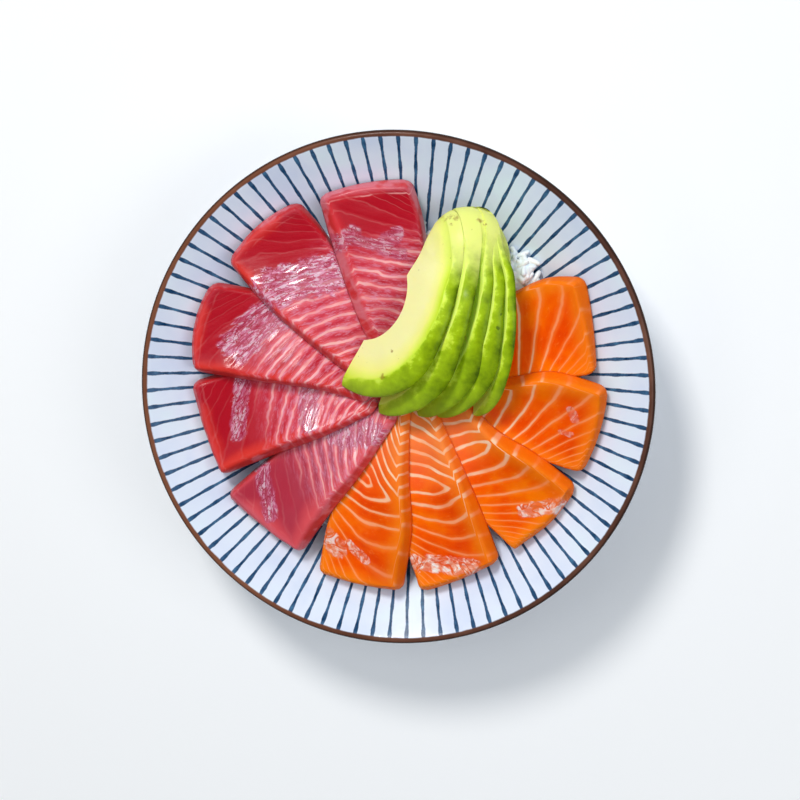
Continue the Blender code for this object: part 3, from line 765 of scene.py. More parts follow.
def grain_shape():
    """One grain, long side along x: rings of a plump rod that is blunter at one end."""
    sides, steps = 8, 7
    rings = []
    for k in range(1, steps):
        turn = math.pi * k / steps
        x = -0.5 * math.cos(turn)
        half = 0.5 * (math.sin(turn) ** 0.62 * (1.0 - 0.12 * x))
        ring = []
        for m in range(sides):
            y, z = half * math.cos(math.tau * m / sides), half * math.sin(math.tau * m / sides)
            ring.append((x, y * 0.86 if y < 0 else y, z))
        rings.append(ring)
    points, faces = round_body(rings, (-0.5, 0.0, 0.0), (0.5, 0.0, 0.0))
    return np.array(points), [(face[0], *face[:0:-1]) for face in faces]


def make_rice_grains(material):
    """Grains over the heap wherever no slice lies close above them."""
    draw = random.Random(11)
    shape, shape_faces = grain_shape()
    trees = {name: node_tree(name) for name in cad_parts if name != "rice"}
    covers = [tree for name, tree in trees.items() if name != "bowl"]
    points, faces, tints = [], [], []
    for _ in range(GRAIN_TRIES):
        bearing = draw.uniform(0, math.tau)
        radius = math.sqrt(draw.uniform(0.0, (RICE_RADIUS + 8.0) ** 2))
        edge = float(heap_edge(bearing))
        if radius > edge + 1.5:
            continue
        top = float(rice_surface(min(radius, edge), bearing) + heap_rise(radius, bearing))
        if radius > edge - 4.0:
            low = float(inner_height(radius)) + 1.9
            height = draw.uniform(min(low, top - 0.6), top)
        else:
            height = top + draw.uniform(-1.1, 0.7)
        spot = Vector((radius * math.cos(bearing), radius * math.sin(bearing), height))
        turn, tilt = draw.uniform(0, math.tau), draw.gauss(0.0, 0.32)
        axis = Matrix.Rotation(turn, 3, "Z") @ Matrix.Rotation(tilt, 3, "Y")
        long, wide = GRAIN_LENGTH * draw.uniform(0.8, 1.12), GRAIN_WIDTH * draw.uniform(0.88, 1.08)
        roll = axis @ Matrix.Rotation(draw.uniform(0, math.tau), 3, "X")
        tint = draw.random()
        if draw.random() < WARM_GRAINS:
            tint = 1.6
        if all(hidden(spot + Vector(step), covers) for step in COVER_TESTS):
            continue
        along = axis @ Vector((long * 0.36, 0, 0))
        if any(too_near(spot + step, trees.values()) for step in (-along, along * 0, along)):
            continue
        start = len(points) * len(shape)
        points.append(shape * (long, wide, wide) @ np.array(roll.transposed()) + np.array(spot))
        faces += [tuple(start + i for i in face) for face in shape_faces]
        tints += [tint] * len(shape)
    grains = mesh_object("rice_grains", np.vstack(points), faces, {"tint": tints})
    dress(grains, "rice", material)


def hidden(spot, covers):
    up = Vector((0.0, 0.0, 1.0))
    return any(tree.ray_cast(spot - up * 0.5, up, 14.0)[0] is not None for tree in covers)


def too_near(spot, solids):
    return any(tree.find_nearest(spot, 1.25)[0] is not None for tree in solids)


def rice_material():
    paint = Paint("rice")
    tint = paint.attribute("tint")
    paint.colour = paint.ramp(tint, (0.0, 234, 245, 255), (0.5, 242, 250, 255), (1.0, 250, 254, 255))
    paint.lay((240, 225, 150), paint.span(tint, 1.2, 1.5))
    chalk = paint.noise(420.0, 3.0, 0.6)
    paint.lay((246, 250, 255), paint.span(chalk, 0.45, 0.7, 0.0, 0.35))
    relief = paint.bump(paint.noise(900.0, 3.0, 0.6), 0.25, 0.0003)
    return paint.finish(relief, {"Roughness": 0.32, "Coat Weight": 0.2, "Coat Roughness": 0.18})


# ---- fish ----


def curve_points(points, shares):
    """Places on the Catmull-Rom curve through the points."""
    p = np.array(points, float)
    p = np.vstack([2 * p[0] - p[1], p, 2 * p[-1] - p[-2]])
    spans = len(points) - 1
    i = np.minimum((shares * spans).astype(int), spans - 1)
    t = (shares * spans - i)[..., None]
    a, b, c, d = p[i], p[i + 1], p[i + 2], p[i + 3]
    square = 2 * a - 5 * b + 4 * c - d
    cube = 3 * b - a - 3 * c + d
    return 0.5 * (2 * b + (c - a) * t + square * t**2 + cube * t**3)


def round_off(distance, corner):
    inside = np.clip(corner - distance, 0.0, corner)
    return corner - np.sqrt(corner**2 - inside**2)


def slice_axis(shape):
    """The direction from the middle of the inner end to that of the outer end, and how far."""
    ends = (np.array(shape.cw, float) + np.array(shape.ccw, float)) / 2
    length = np.linalg.norm(ends[-1] - ends[0])
    return (ends[-1] - ends[0]) / length, length


def slice_width(shape, along):
    return np.linalg.norm(curve_points(shape.ccw, along) - curve_points(shape.cw, along), axis=-1)


def plan(shape, along, across):
    """Ground plan places: along from the inner end, across from the clockwise side."""
    cw, ccw = curve_points(shape.cw, along), curve_points(shape.ccw, along)
    outward, length = slice_axis(shape)
    from_inner = along * length + shape.reach_in
    drawn_in = round_off((1.0 - along) * length, OUTER_CORNER) + round_off(from_inner, INNER_CORNER)
    share = 0.5 + (across - 0.5) * (1.0 - 2.0 * drawn_in / slice_width(shape, along))
    crown = np.maximum(0.0, (along - CROWN_START) / (1.0 - CROWN_START)) ** 2
    crown = (1.0 - (2.0 * share - 1.0) ** 2) * crown
    return cw + (ccw - cw) * share[..., None] + outward * (shape.bulge * crown)[..., None]


def cast_up(tree, places, guess):
    """Heights of a node's underside over these places, filled in from the neighbours beyond it."""
    heights = np.full(places.shape[:2], np.nan)
    for i, j in np.ndindex(heights.shape):
        hit = tree.ray_cast(Vector((*places[i, j], -10.0)), Vector((0.0, 0.0, 1.0)))[0]
        if hit is not None:
            heights[i, j] = hit.z
    for _ in range(60):
        missing = np.isnan(heights)
        if not missing.any():
            break
        padded = np.pad(heights, 1, constant_values=np.nan)
        near = np.stack([padded[2:, 1:-1], padded[:-2, 1:-1], padded[1:-1, 2:], padded[1:-1, :-2]])
        known = ~np.isnan(near)
        mean = np.where(known, near, 0).sum(0) / np.maximum(known.sum(0), 1)
        fill = missing & known.any(0)
        heights[fill] = mean[fill]
    heights[np.isnan(heights)] = guess
    return heights


def sample(grid, along, across):
    """Bilinear reading of a grid over 0 to 1 both ways."""
    rows, columns = grid.shape[:2]
    i = np.clip(along * (rows - 1), 0, rows - 1.0001)
    j = np.clip(across * (columns - 1), 0, columns - 1.0001)
    a, b = i.astype(int), j.astype(int)
    s, t = i - a, j - b
    if grid.ndim == 3:
        s, t = s[..., None], t[..., None]
    low = grid[a, b] * (1 - t) + grid[a, b + 1] * t
    high = grid[a + 1, b] * (1 - t) + grid[a + 1, b + 1] * t
    return low * (1 - s) + high * s


def line_phase(lines, distance, across):
    """The number of lines in the flesh passed, counted from the heart of their nest."""
    shift = across - 0.15
    fanned = distance - (lines.lean - lines.fan * lines.fan_from) * shift
    fanned = fanned / np.maximum(1.0 + lines.fan * shift, 0.3)
    off = np.where(fanned > lines.fan_from, fanned, distance - lines.lean * shift) - lines.heart
    off = np.where(off < 0, -off / lines.inner, off / lines.outer)
    tip = np.maximum(0.0, across - lines.reach) / lines.tips
    return (off**TIP_POWER + tip**TIP_POWER) ** (1.0 / TIP_POWER) + lines.shift


def wet_share(shape, distance, reach):
    """How much each place shines, from its distance along and across the slice."""
    total = np.zeros_like(distance)
    length = slice_axis(shape)[1]
    for *ends, half in shape.wet:
        start, end = (
            np.array([along, across * slice_width(shape, np.array([along / length]))[0]])
            for along, across in (ends[:2], ends[2:])
        )
        stroke = end - start
        off_x, off_y = distance - start[0], reach - start[1]
        share = np.clip((off_x * stroke[0] + off_y * stroke[1]) / (stroke @ stroke), 0.0, 1.0)
        gap = np.hypot(off_x - share * stroke[0], off_y - share * stroke[1])
        total = np.maximum(total, np.clip(1.5 - gap / half, 0.0, 1.0))
    return smooth_step(total)


def make_slice(node, seed, material):
    """A slice on its solid's outline and underside: a top and a base grid, and strips between."""
    shape = FISH[node]
    kind = node.split("_")[0]
    length = slice_axis(shape)[1]
    start = -shape.reach_in / length
    shares, vs = np.meshgrid(np.linspace(0, 1, ROWS), np.linspace(0, 1, COLUMNS), indexing="ij")
    us = start + (1.0 - start) * shares
    seen = plan(shape, us.clip(0.012, 0.985), vs.clip(0.03, 0.97))
    heights = blur(cast_up(node_tree(node), seen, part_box(node)[0].z / MM), 14)
    ground = plan(shape, us, vs)
    skin = np.dstack([ground, blur(heights, 60)])
    normals = unit(np.cross(np.gradient(skin, axis=0), np.gradient(skin, axis=1)))
    normals *= np.sign(normals[..., 2:3])
    base = np.dstack([ground, heights])
    width = slice_width(shape, us)

    def surface(along, across, sunk=0.0):
        """A place on the slice's top, at these shares of the ground plan."""
        full = np.minimum(1.0, along / FISH_TIP_REACH)
        thick = FISH_THICKNESS * (FISH_TIP_SHARE + (1 - FISH_TIP_SHARE) * full)
        share = (along - start) / (1.0 - start)
        spot = np.dstack([plan(shape, along, across), sample(heights, share, across)])
        return spot + sample(normals, share, across) * (thick - sunk)[..., None]

    # The top lies within the slanted sides and the rounding of its edge.
    slant = np.minimum(shape.slant / width, MOST_SLANT)
    back = np.minimum(SLANT_BACK / width, MOST_SLANT)
    inset_u = EDGE_RADIUS / length
    inset_cw = np.minimum(EDGE_RADIUS / width, 0.1)
    inset_ccw = np.minimum(EDGE_RADIUS / width, 0.16)
    inner_end = start + END_SLANT
    along = inner_end + inset_u + (1.0 - END_SLANT - inner_end - 2 * inset_u) * shares
    across = back + inset_cw + (1.0 - back - slant - inset_cw - inset_ccw) * vs
    top = surface(along, across)
    # The flesh swells between its lines, and the whole top is a little uneven.
    distance = along * length
    phase = line_phase(shape.lines, distance, across)
    between = np.abs(2 * (phase - np.floor(phase)) - 1.0)
    edge = np.minimum(np.minimum(shares, 1 - shares) * length, np.minimum(vs, 1 - vs) * width)
    fade = np.clip(1.3 - distance / length, 0.25, 1.0) * np.clip(edge / 2.0, 0.2, 1.0)
    lift = -SWELLS[kind] * between**4 * fade + 0.22 * swell(top[..., 0], top[..., 1], seed)
    ridges = np.sin(phase * 17.0 + 2.5 * swell(top[..., 0] * 1.5, top[..., 1] * 1.5, seed + 20))
    lift += 0.16 * wet_share(shape, distance, across * width) * ridges * np.clip(edge / 3.0, 0.0, 1.0)
    top = top + sample(normals, shares, across) * lift[..., None]

    border = [(i, 0) for i in range(ROWS)]
    border += [(ROWS - 1, j) for j in range(1, COLUMNS)]
    border += [(i, COLUMNS - 1) for i in range(ROWS - 2, -1, -1)]
    border += [(0, j) for j in range(COLUMNS - 2, 0, -1)]
    bi, bj = np.array(border).T
    corner_u = inner_end + (1.0 - END_SLANT - inner_end) * shares[bi, bj]
    corner_v = back[bi, bj] + (1.0 - back[bi, bj] - slant[bi, bj]) * vs[bi, bj]
    corner = surface(corner_u[None], corner_v[None], 0.25)[0]
    foot, first = base[bi, bj], top[bi, bj]
    ragged = 0.25 * swell(foot[:, 0] * 2.5, foot[:, 1] * 2.5, seed + 40)
    outward = unit(foot[:, :2] - ground[bi, bj].mean(0))
    corner[:, :2] += outward * ragged[:, None]
    drop = foot - corner
    bend = corner + drop * np.minimum(EDGE_RADIUS * 1.2 / np.linalg.norm(drop, axis=1, keepdims=True), 0.5)
    strips = []
    for t in (0.25, 0.5, 0.75, 1.0):
        strips.append(((1 - t) ** 2 * first + 2 * t * (1 - t) * corner + t**2 * bend, 0.3 * t))
    for t in (0.25, 0.5, 0.75):
        side = bend + (foot - bend) * t
        side[:, :2] += outward * (0.35 * math.sin(math.pi * t))
        strips.append((side, 0.3 + 0.7 * t))

    count, around = ROWS * COLUMNS, len(border)
    points = np.vstack([top.reshape(-1, 3), base.reshape(-1, 3), *(strip for strip, _ in strips)])
    upper = bi * COLUMNS + bj
    loops = [upper, *(2 * count + k * around + np.arange(around) for k in range(len(strips))), upper + count]
    faces = grid_faces(ROWS, COLUMNS) + grid_faces(ROWS, COLUMNS, count, flip=True)
    faces += ring_faces([loop.tolist() for loop in loops])

    # What the material needs to know at each point.
    # All the way down its sides the lines have the places that they have near the foot.
    gone = np.linalg.norm(strips[-1][0] - first, axis=1) / np.linalg.norm(foot - first, axis=1)
    turned = length * (along[bi, bj] + (us[bi, bj] - along[bi, bj]) * gone)
    turned += HOOKS[kind] * np.clip(turned / HOOK_SPAN, 0.0, 1.0) * gone * (bj == COLUMNS - 1)
    level = across[bi, bj] + (vs[bi, bj] - across[bi, bj]) * gone
    phases = [phase.ravel(), line_phase(shape.lines, us * length, vs).ravel()]
    phases = np.concatenate(phases + [line_phase(shape.lines, turned, level)] * len(strips))
    side = [np.zeros(count), np.ones(count), *(np.full(around, depth) for _, depth in strips)]
    u = np.concatenate([along.ravel(), us.ravel()] + [corner_u] * len(strips))
    v = np.concatenate([across.ravel(), vs.ravel()] + [corner_v] * len(strips))
    widths = np.interp(u, us[:, 0], width[:, 0])
    attributes = {
        "phase": phases,
        "fibre": np.stack([phases, v * widths, points[:, 2]], axis=1),
        "along": u,
        "across": v,
        "side": np.concatenate(side),
        "rim": np.minimum((1 - u) * length, np.minimum(v, 1 - v) * widths),
        "wet": wet_share(shape, u * length, v * widths),
    }
    dress(mesh_object(node.replace("_", "_slice_"), points, faces, attributes), node, material)


def along_fibres(paint, stretch, seed):
    """A place along the fibres: quick across the lines, slow along them."""
    fibre = paint.vector("MULTIPLY", paint.attribute("fibre", "Vector"), stretch)
    return paint.vector("ADD", fibre, (seed * 17.3, seed * 5.1, seed * 2.7))


def line_mask(paint, width, soft, wander, strength):
    """The strength on the lines in the flesh, from how far the phase is from a whole number."""
    phase = (paint.noise(95.0) - 0.5) * wander + paint.attribute("phase")
    off = 0.5 - abs(paint.math("FRACT", phase) - 0.5)
    thick = paint.noise(150.0) * 1.6 * width
    return paint.span(off - thick, 0.0, soft, 1.0, 0.0) * strength


def lay_painted_wet_highlight(paint, wet, seed, most, colours, grain):
    """Lays on a painted highlight, the pale streaked shine of the wet surface, split by fine wrinkles of
    painted shade, and returns where it is. most is how much of it shows, colours are those of the shaded
    wrinkles, the highlight and its brightest streaks, and grain has the places that its streaks and its
    wrinkles follow."""
    dark, pale, bright = colours
    streaks = paint.noise(1.0, 3.0, 0.55, 0.5, grain[0])
    breaks = paint.noise(1.0, 3.0, 0.6, at=along_fibres(paint, (1.3, 0.2, 0.3), seed))
    folds = paint.noise(1.0, 2.5, 0.6, 0.8, grain[1])
    cover = paint.span((breaks - 0.5) * 2.2 + wet, 0.25, 0.7) * paint.span(wet, 0.02, 0.4)
    paint.lay(dark, cover * 0.5)
    crack = paint.span(abs(folds - 0.5), 0.004, 0.05)
    painted_highlight = crack * paint.span(streaks, 0.38, 0.55, 0.25, 1.0) * cover * most
    paint.lay(paint.mix(paint.span(streaks, 0.48, 0.64), pale, bright), painted_highlight)
    return painted_highlight


def finish_fish(paint, wet, strands, lines, painted_highlight, coat, settings):
    """Sets the shader, with a coat and a relief that are stronger in the wettest places."""
    relief = paint.bump(strands, wet * 0.7 + 0.2, 0.0006)
    relief = paint.bump(paint.noise(300.0, 4.0, 0.6), 0.25, 0.0005, relief)
    relief = paint.bump(lines, 0.25, 0.0003, relief)
    relief = paint.bump(painted_highlight, 0.4, 0.0003, relief)
    gloss = {"Roughness": 0.36, "Coat Weight": wet * (0.9 - coat) + coat, "Coat Roughness": 0.12}
    return paint.finish(relief, {**gloss, **settings})


def salmon_material(number):
    most_painted_highlight, pale_end, line_width = SALMON_LOOKS[number]
    paint = Paint(f"salmon_{number}")
    along, rim, side, wet = map(paint.attribute, ("along", "rim", "side", "wet"))
    tone = paint.noise(60.0, 3.0, 0.55)
    paint.colour = paint.ramp(tone, (0.28, 232, 64, 0), (0.5, 247, 87, 0), (0.7, 255, 120, 0))
    # Lighter orange towards the edges: a painted glow that stands in for light through the thin flesh.
    paint.lay((255, 138, 22), paint.span(tone * 3.0 + rim, 10.0, 3.0, 0.0, 0.6))
    paint.lay((252, 156, 92), paint.span(along, 0.5, 0.15, 0.0, pale_end))
    paint.lay((246, 106, 8), paint.span(side, 0.06, 0.4, 0.0, 0.6))
    fade = paint.span(side, 0.1, 0.4, 1.0, 0.35)
    strength = paint.span(along, 0.35, 0.95, 0.95, 0.42) * fade
    strength = strength * paint.span(paint.noise(75.0), 0.36, 0.62, 0.5, 1.0)
    lines = line_mask(paint, paint.span(along, 0.25, 0.85, line_width, 0.012), 0.1, 0.34, strength)
    halo = line_mask(paint, 0.07, 0.24, 0.34, paint.span(along, 0.4, 0.95, 0.55, 0.3))
    paint.lay((255, 138, 52), halo * fade)
    paint.lay(paint.mix(paint.span(along, 0.35, 0.75), (255, 214, 178), (255, 172, 122)), lines)
    strands = paint.noise(1.0, 4.0, 0.62, at=along_fibres(paint, (5.0, 0.35, 0.5), number))
    paint.lay((255, 144, 60), paint.span(strands, 0.55, 0.75, 0.0, 0.3))
    # Colours and places of the painted wet highlight, with painted shade in its wrinkles.
    colours = (228, 88, 50), (255, 190, 166), (255, 242, 236)
    grain = [paint.vector("MULTIPLY", paint.place, (pitch, pitch, pitch)) for pitch in (300.0, 110.0)]
    painted_highlight = lay_painted_wet_highlight(paint, wet, number + 7, most_painted_highlight, colours, grain)
    flesh = {"Subsurface Weight": 0.12, "Subsurface Radius": (0.003, 0.0006, 0.0002)}
    return finish_fish(paint, wet, strands, lines, painted_highlight, 0.05, {**flesh, "Specular IOR Level": 0.03})


def tuna_material(number):
    look = TUNA_LOOKS[number]
    paint = Paint(f"tuna_{number}")
    along, rim, side, wet = map(paint.attribute, ("along", "rim", "side", "wet"))
    tone, patches = paint.noise(55.0, 3.0, 0.55), paint.noise(130.0)
    paint.colour = paint.ramp(tone, (0.25, *look.core), (0.55, *look.flesh), (0.75, *look.flesh))
    paint.lay(look.core, paint.span(along, 0.5, 0.8, 0.0, 0.95))
    # Orange-red towards the edges and the clockwise side: a painted glow that stands in for light through the
    # thin flesh.
    near = tone * 7.0 + rim + paint.span(paint.attribute("across"), 0.35, 0.08, 0.0, 6.0)
    paint.lay(look.painted_glow, paint.span(near, look.painted_glow_reach, 5.0, 0.0, 0.85))
    # The skin side at the outer end is pinker, in one slice behind a thin pale line.
    end = (patches - 0.5) * 0.03 + along
    paint.lay((210, 98, 112), paint.span(end, 0.94, 0.975, 0.0, look.end_pink))
    thin = paint.span(abs(end - 0.94), 0.008, 0.001)
    paint.lay((244, 168, 168), thin * paint.span(patches, 0.4, 0.6, 0.1, look.end_line))
    flecks = paint.span(patches, look.fleck, look.fleck + 0.14)
    paint.lay(paint.mix(flecks, (214, 54, 52), (232, 128, 140)), paint.span(side, 0.03, 0.3, 0.0, 0.7))
    fade = paint.span(side, 0.02, 0.2, 1.0, 0.2)
    strength = paint.span(along, 0.5, 0.72, 0.95, look.outer_lines) * fade
    strength = strength * paint.span(paint.noise(85.0), 0.36, 0.62, 0.45, 1.0)
    lines = line_mask(paint, paint.span(along, 0.35, 0.75, 0.07, 0.015), 0.09, 0.95, strength)
    halo = line_mask(paint, 0.14, 0.34, 0.95, paint.span(along, 0.5, 0.72, 0.8, 0.0) * fade)
    paint.lay((232, 104, 114), halo)
    paint.lay((250, 184, 180), lines)
    strands = paint.noise(1.0, 5.0, 0.65, at=along_fibres(paint, (6.0, 0.22, 0.5), number))
    # A lilac painted sheen, streaked along the fibres, over the inner half.
    painted_sheen = paint.span(along, 0.75, 0.5, 0.0, 0.38) * fade
    paint.lay((228, 170, 200), painted_sheen * paint.span(strands, 0.46, 0.64))
    # Colours and places of the painted wet highlight, with painted shade in its wrinkles.
    colours = (160, 22, 62), (232, 140, 180), (250, 228, 243)
    grain = [along_fibres(paint, (4.6, 0.23, 0.3), number + 3)]
    grain.append(along_fibres(paint, (2.8, 0.24, 0.3), number + 9))
    painted_highlight = lay_painted_wet_highlight(paint, wet, number + 7, look.painted_highlight, colours, grain)
    flesh = {"Subsurface Weight": 0.1, "Subsurface Radius": (0.002, 0.0003, 0.0003)}
    return finish_fish(paint, wet, strands, lines, painted_highlight, 0.16, {**flesh, "Specular IOR Level": 0.12})


# ---- avocado ----


def avocado_curves(wedge):
    """The slice's outer and flat side in its own plane, from the blossom to the stem end: along,
    out and how the outer side faces."""
    length = AVOCADO_LENGTH * wedge.long
    width = AVOCADO_WIDTH * wedge.wide
    turn = np.linspace(0.0, math.pi, AVOCADO_ROWS)
    along = length * (1.0 - np.cos(turn)) / 2
    out = width * np.sin(turn) * (1.0 + wedge.full * np.cos(turn))
    facing = unit(np.stack([-2.0 * np.cos(turn) / length, np.sin(turn) / width], axis=1))
    hollow = np.sqrt(np.maximum(PIT_RADIUS**2 - (along - PIT_PLACE * length) ** 2, 0.0)) - PIT_SINK
    neck = NECK_BOW * np.sin(math.pi * np.clip((along / length - 0.3) / 0.7, 0.0, 1.0))
    flat = np.minimum(np.maximum(hollow, neck), out)
    return length, np.stack([along, out], axis=1), facing, np.stack([along, flat], axis=1)


def make_avocado(node, number, material):
    """A slice from its upper to its lower flat side, with the skin's rows between."""
    wedge = AVOCADO[node]
    length, outer, facing, inner = avocado_curves(wedge)
    rows, columns = AVOCADO_ROWS, AVOCADO_COLUMNS
    shares = np.linspace(0.0, 1.0, columns)

    def span_out(edge):
        """A grid in the slice's own plane from the flat side out to this edge."""
        return inner[:, None] + (edge - inner)[:, None] * shares[None, :, None]

    def lay(flat, depth):
        """Local places: x from the stem to the blossom end, y out to the skin, z up."""
        return np.stack([length - flat[..., 0], flat[..., 1], depth], axis=-1).reshape(-1, 3)

    face = span_out(outer)
    from_stem = np.minimum(1.0, (1.0 - face[..., 0] / length) / AVOCADO_STEM_REACH)
    thick = (wedge.thick - AVOCADO_FLAT_THICKNESS) * np.minimum(1.0, face[..., 1] / AVOCADO_WIDTH)
    thick = (AVOCADO_FLAT_THICKNESS + thick) * (STEM_THICKNESS + (1.0 - STEM_THICKNESS) * from_stem)
    grow = [wedge.flare * math.sin(math.pi / 2 * level) for level in SKIN_LEVELS]
    along = 1.0 - outer[:, 0] / length
    near_stem = np.clip(1.0 - along / STEM_FLARE_REACH, 0.0, 1.0) ** 2
    near_tip = np.clip((along - TIP_FLARE_START) / (1.0 - TIP_FLARE_START), 0.0, 1.0)
    near_tip = np.sin(math.pi * near_tip**1.8) ** 1.5
    flare_out, flare_down = (s * near_stem + t * near_tip for s, t in zip(wedge.stem_flare, wedge.tip_flare))
    first, last = SKIN_INSET_SPAN
    blossom = smooth_step(np.clip((along - first) / (last - first), 0.0, 1.0))
    inset = np.minimum(SKIN_INSET * blossom, 0.35 * outer[:, 1])[:, None]

    def skin_row(level, out):
        """The skin's row at this level from its upper to its lower edge, moved out so far."""
        return outer + facing * out + np.array([0.0, 1.0]) * (flare_out * level)[:, None]

    top = span_out(outer - facing * (inset + SKIN_DIPS[0]))
    bottom = span_out(skin_row(1.0, grow[-1] - SKIN_DIPS[-1]))
    count = rows * columns
    points = [lay(top, 0.0 * thick), lay(bottom, -thick - flare_down[:, None] * shares[None])]
    last_column = np.tile(np.arange(columns) == columns - 1, rows).astype(float)
    from_skin = [distance_to(top, outer).ravel(), distance_to(bottom, outer).ravel()]
    on_skin = [np.zeros(count), last_column]
    edge = np.arange(rows) * columns + columns - 1
    skin_loops = [edge]
    for level, dip, out in list(zip(SKIN_LEVELS, SKIN_DIPS, grow))[1:-1]:
        flat = skin_row(level, out - dip - inset * (1.0 - level) ** 1.3)
        skin_loops.append(2 * count + (len(points) - 2) * rows + np.arange(rows))
        points.append(lay(flat, -(thick[:, -1] + flare_down) * level))
        from_skin.append(np.zeros(rows))
        on_skin.append(np.full(rows, 0.3 + 0.7 * level))
    skin_loops = [loop.tolist() for loop in (*skin_loops, count + edge)]
    faces = grid_faces(rows, columns, flip=True) + grid_faces(rows, columns, count)
    for k in range(rows - 1):
        for upper, lower in zip(skin_loops, skin_loops[1:]):
            faces.append((upper[k], lower[k], lower[k + 1], upper[k + 1]))
        a, b = k * columns, (k + 1) * columns
        faces.append((a, b, b + count, a + count))
    for k in (0, rows - 1):
        ring = [k * columns + j for j in range(columns)]
        ring += [loop[k] for loop in skin_loops[1:-1]]
        ring += [count + k * columns + j for j in range(columns - 1, -1, -1)]
        faces.append(ring if k else ring[::-1])
    points, from_skin, on_skin = map(np.concatenate, (points, from_skin, on_skin))
    from_stem = points[:, 0].copy()
    points[:, 2] += 0.15 * swell(points[:, 0] * 1.5, points[:, 1] * 1.5, number + 80)
    turns = ((wedge.heading, "Z"), (-wedge.dip, "Y"), (wedge.lean, "X"))
    heading, dip, lean = (Matrix.Rotation(math.radians(angle), 3, axis) for angle, axis in turns)
    points = points @ np.array(heading @ dip @ lean).T
    points[:, :2] += np.array(wedge.stem)
    points[:, 2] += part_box(node)[0].z / MM - points[:, 2].min()
    points = onto_dome(points, from_stem, on_skin, number)
    attributes = {"from_skin": from_skin, "on_skin": on_skin, "from_stem": from_stem / length}
    piece = mesh_object(f"avocado_slice_{number}", points, faces, attributes)
    tidy_mesh(piece.data)
    piece.data.set_sharp_from_angle(angle=math.radians(60))
    dress(piece, node, material)


def onto_dome(points, from_stem, on_skin, number):
    """Moves the skin near the stem onto the common dome, and what is under it inside."""
    centre, radii = np.array(DOME_CENTRE), np.array(DOME_RADII)
    offset = (points - centre) / radii
    radius = np.linalg.norm(offset, axis=1)
    near, lift = (smooth_step(np.clip((b - from_stem) / (b - a), 0.0, 1.0)) for a, b in DOME_SPANS)
    aim = np.where(on_skin > 0.25, 1.0 - 0.0015 * number, np.minimum(radius, 0.99 - 0.0015 * number))
    above = np.clip((points[:, 2] - centre[2] + 3.0) / 4.0, 0.0, 1.0)
    points = centre + offset * radii * (1.0 + (aim / radius - 1.0) * near * above)[:, None]
    # Under the stem nothing hangs lower than the dome's own underside.
    spread = (((points - centre) / radii)[:, :2] ** 2).sum(axis=1)
    lowest = centre[2] - DOME_DEPTH * np.sqrt(np.clip(1.0 - spread, 0.0, 1.0))
    points[:, 2] += np.maximum(lowest - points[:, 2], 0.0) * lift
    return points


def make_stem_dome(material):
    """The uncut stem end that the slices hang on, just under their skins."""
    rows, columns = 34, 48
    rings = []
    for i in range(1, rows + 1):
        turn = math.pi * i / (rows + 1)
        reach = DOME_RADII[1] if math.cos(turn) > 0 else DOME_BACK
        ring = []
        for k in range(columns):
            spin = math.tau * k / columns
            x, z = math.sin(turn) * math.cos(spin), math.sin(turn) * math.sin(spin)
            height = DOME_RADII[2] if z > 0 else DOME_DEPTH
            ring.append((x * DOME_RADII[0], math.cos(turn) * reach, z * height))
        rings.append(ring)
    points, faces = round_body(rings, (0.0, DOME_RADII[1], 0.0), (0.0, -DOME_BACK, 0.0))
    points = np.array(points) * 0.975
    points[:, 0] *= np.where(points[:, 0] < 0, 0.72, 0.9)
    points += DOME_CENTRE
    points[:, 2] += 0.15 * swell(points[:, 0] * 1.5, points[:, 1] * 1.5, 91)
    tip = DOME_CENTRE[1] + DOME_RADII[1]
    attributes = {
        "from_skin": np.zeros(len(points)),
        "on_skin": np.full(len(points), 0.45),
        "from_stem": (tip - points[:, 1]) / AVOCADO_LENGTH,
    }
    dome = mesh_object("avocado_stem", points, faces, attributes)
    tidy_mesh(dome.data)
    dress(dome, None, material)


def distance_to(places, line):
    """How far each place is from the nearest point of the line."""
    gap = np.full(places.shape[:-1], np.inf)
    for point in line:
        gap = np.minimum(gap, np.hypot(places[..., 0] - point[0], places[..., 1] - point[1]))
    return gap


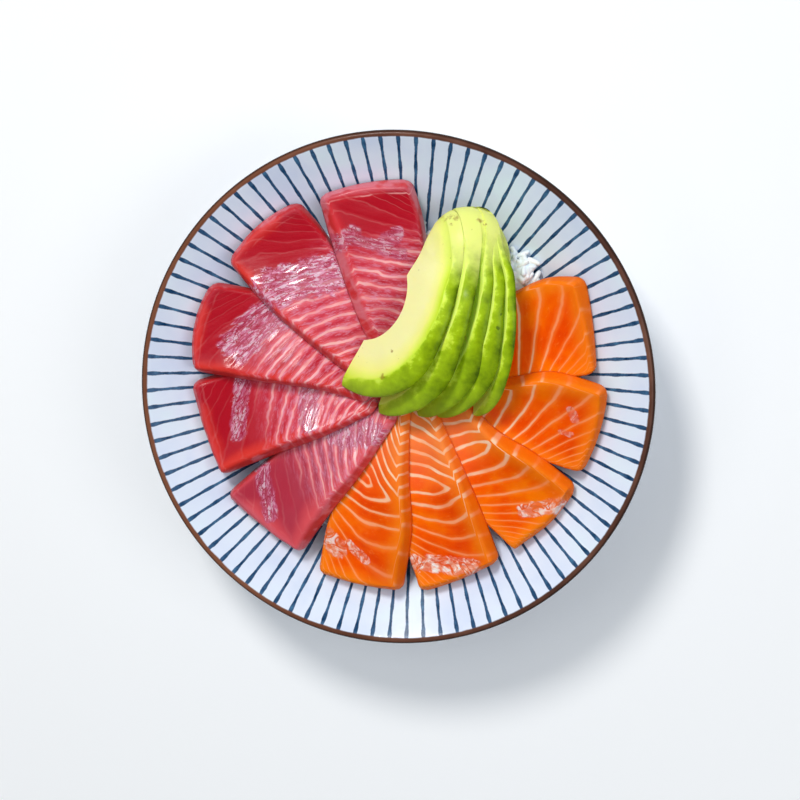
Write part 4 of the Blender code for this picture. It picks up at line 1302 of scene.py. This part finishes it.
def avocado_material(name, cut_stops):
    paint = Paint(name)
    skin, depth, stem = map(paint.attribute, ("on_skin", "from_skin", "from_stem"))
    depth = ((paint.noise(130.0) - 0.5) * 1.2 + depth) * paint.span(stem, 0.3, 0.9, 0.12, 0.075)
    mottle, cloud = paint.noise(170.0, 4.0, 0.6) - 0.5, paint.noise(60.0, 3.0, 0.5) - 0.5
    pale = paint.span(mottle * 0.12 + stem, 0.3, 0.06, 0.0, 0.95)
    paint.colour = paint.ramp(depth, *cut_stops)
    paint.lay((240, 242, 136), pale * 0.6)
    # The skin is pale lime along its upper edge and green further in, darkest at its lower edge: partly the
    # flesh's own lime and green, partly a painted highlight along the upper edge and painted shade where it
    # turns under beside the next slice. It is paler at the stem end, and lighter at the blossom end as a
    # painted highlight.
    peel_lit_to_shaded = (0.14, 226, 248, 92), (0.26, 208, 232, 60), (0.36, 170, 200, 16)
    peel_lit_to_shaded += (0.56, 146, 176, 6), (0.78, 114, 142, 0), (0.98, 76, 102, 0)
    peel = paint.ramp(mottle + skin * 0.85 + cloud * 0.75, *peel_lit_to_shaded)
    peel = paint.mix(pale, peel, (240, 246, 136))
    # A painted highlight: the peel lighter towards the blossom end.
    peel = paint.mix(paint.span(stem, 0.76, 0.98, 0.0, 0.4), peel, (184, 212, 60))
    paint.lay(peel, paint.span(mottle * 0.35 + skin, 0.05, 0.34))
    paint.lay((112, 112, 30), paint.span(paint.noise(520.0), 0.73, 0.78, 0.0, 0.4))
    ragged = (paint.noise(900.0) - 0.5) * (2.2 * MM)
    for tint, marks in ((BROWN, BROWN_MARKS), (DARK_GREEN, DARK_MARKS)):
        total = 0.0
        for spot, radius in marks:
            gap = paint.vector("DISTANCE", paint.place, Vector(spot) * MM, "Value") + ragged
            total = paint.math("MAXIMUM", paint.span(gap, radius * MM, radius * 0.4 * MM), total)
        paint.lay(tint, total * 0.7)
    relief = paint.bump(mottle + 0.5, 0.25, 0.0006)
    relief = paint.bump(paint.noise(700.0, 3.0, 0.6), 0.15, 0.0002, relief)
    flesh = {"Subsurface Weight": 0.5, "Subsurface Radius": (0.0028, 0.0034, 0.0008)}
    gloss = {"Roughness": 0.42, "Specular IOR Level": 0.1, "Coat Weight": 0.1, "Coat Roughness": 0.22}
    return paint.finish(relief, {**flesh, **gloss})


def main():
    scene.view_settings.view_transform = "Standard"
    make_camera()
    make_sky()
    for name, lamp in LAMPS.items():
        make_lamp(name, *lamp)
    make_floor()
    make_bowl()
    rice = rice_material()
    make_rice_bed(rice)
    make_rice_grains(rice)
    for number in range(1, 6):
        make_slice(f"tuna_{number}", number, tuna_material(number))
        make_slice(f"salmon_{number}", number + 10, salmon_material(number))
    open_flesh = avocado_material("avocado", CUT_FACE)
    # The cut faces between the slices get a brighter copy of the flesh: painted light.
    covered_flesh_painted_light = avocado_material("avocado_inside_painted_light", COVERED_FACE_PAINTED_LIGHT)
    for number in range(1, 6):
        make_avocado(f"avocado_{number}", number, open_flesh if number == 1 else covered_flesh_painted_light)
    make_stem_dome(open_flesh)


main()
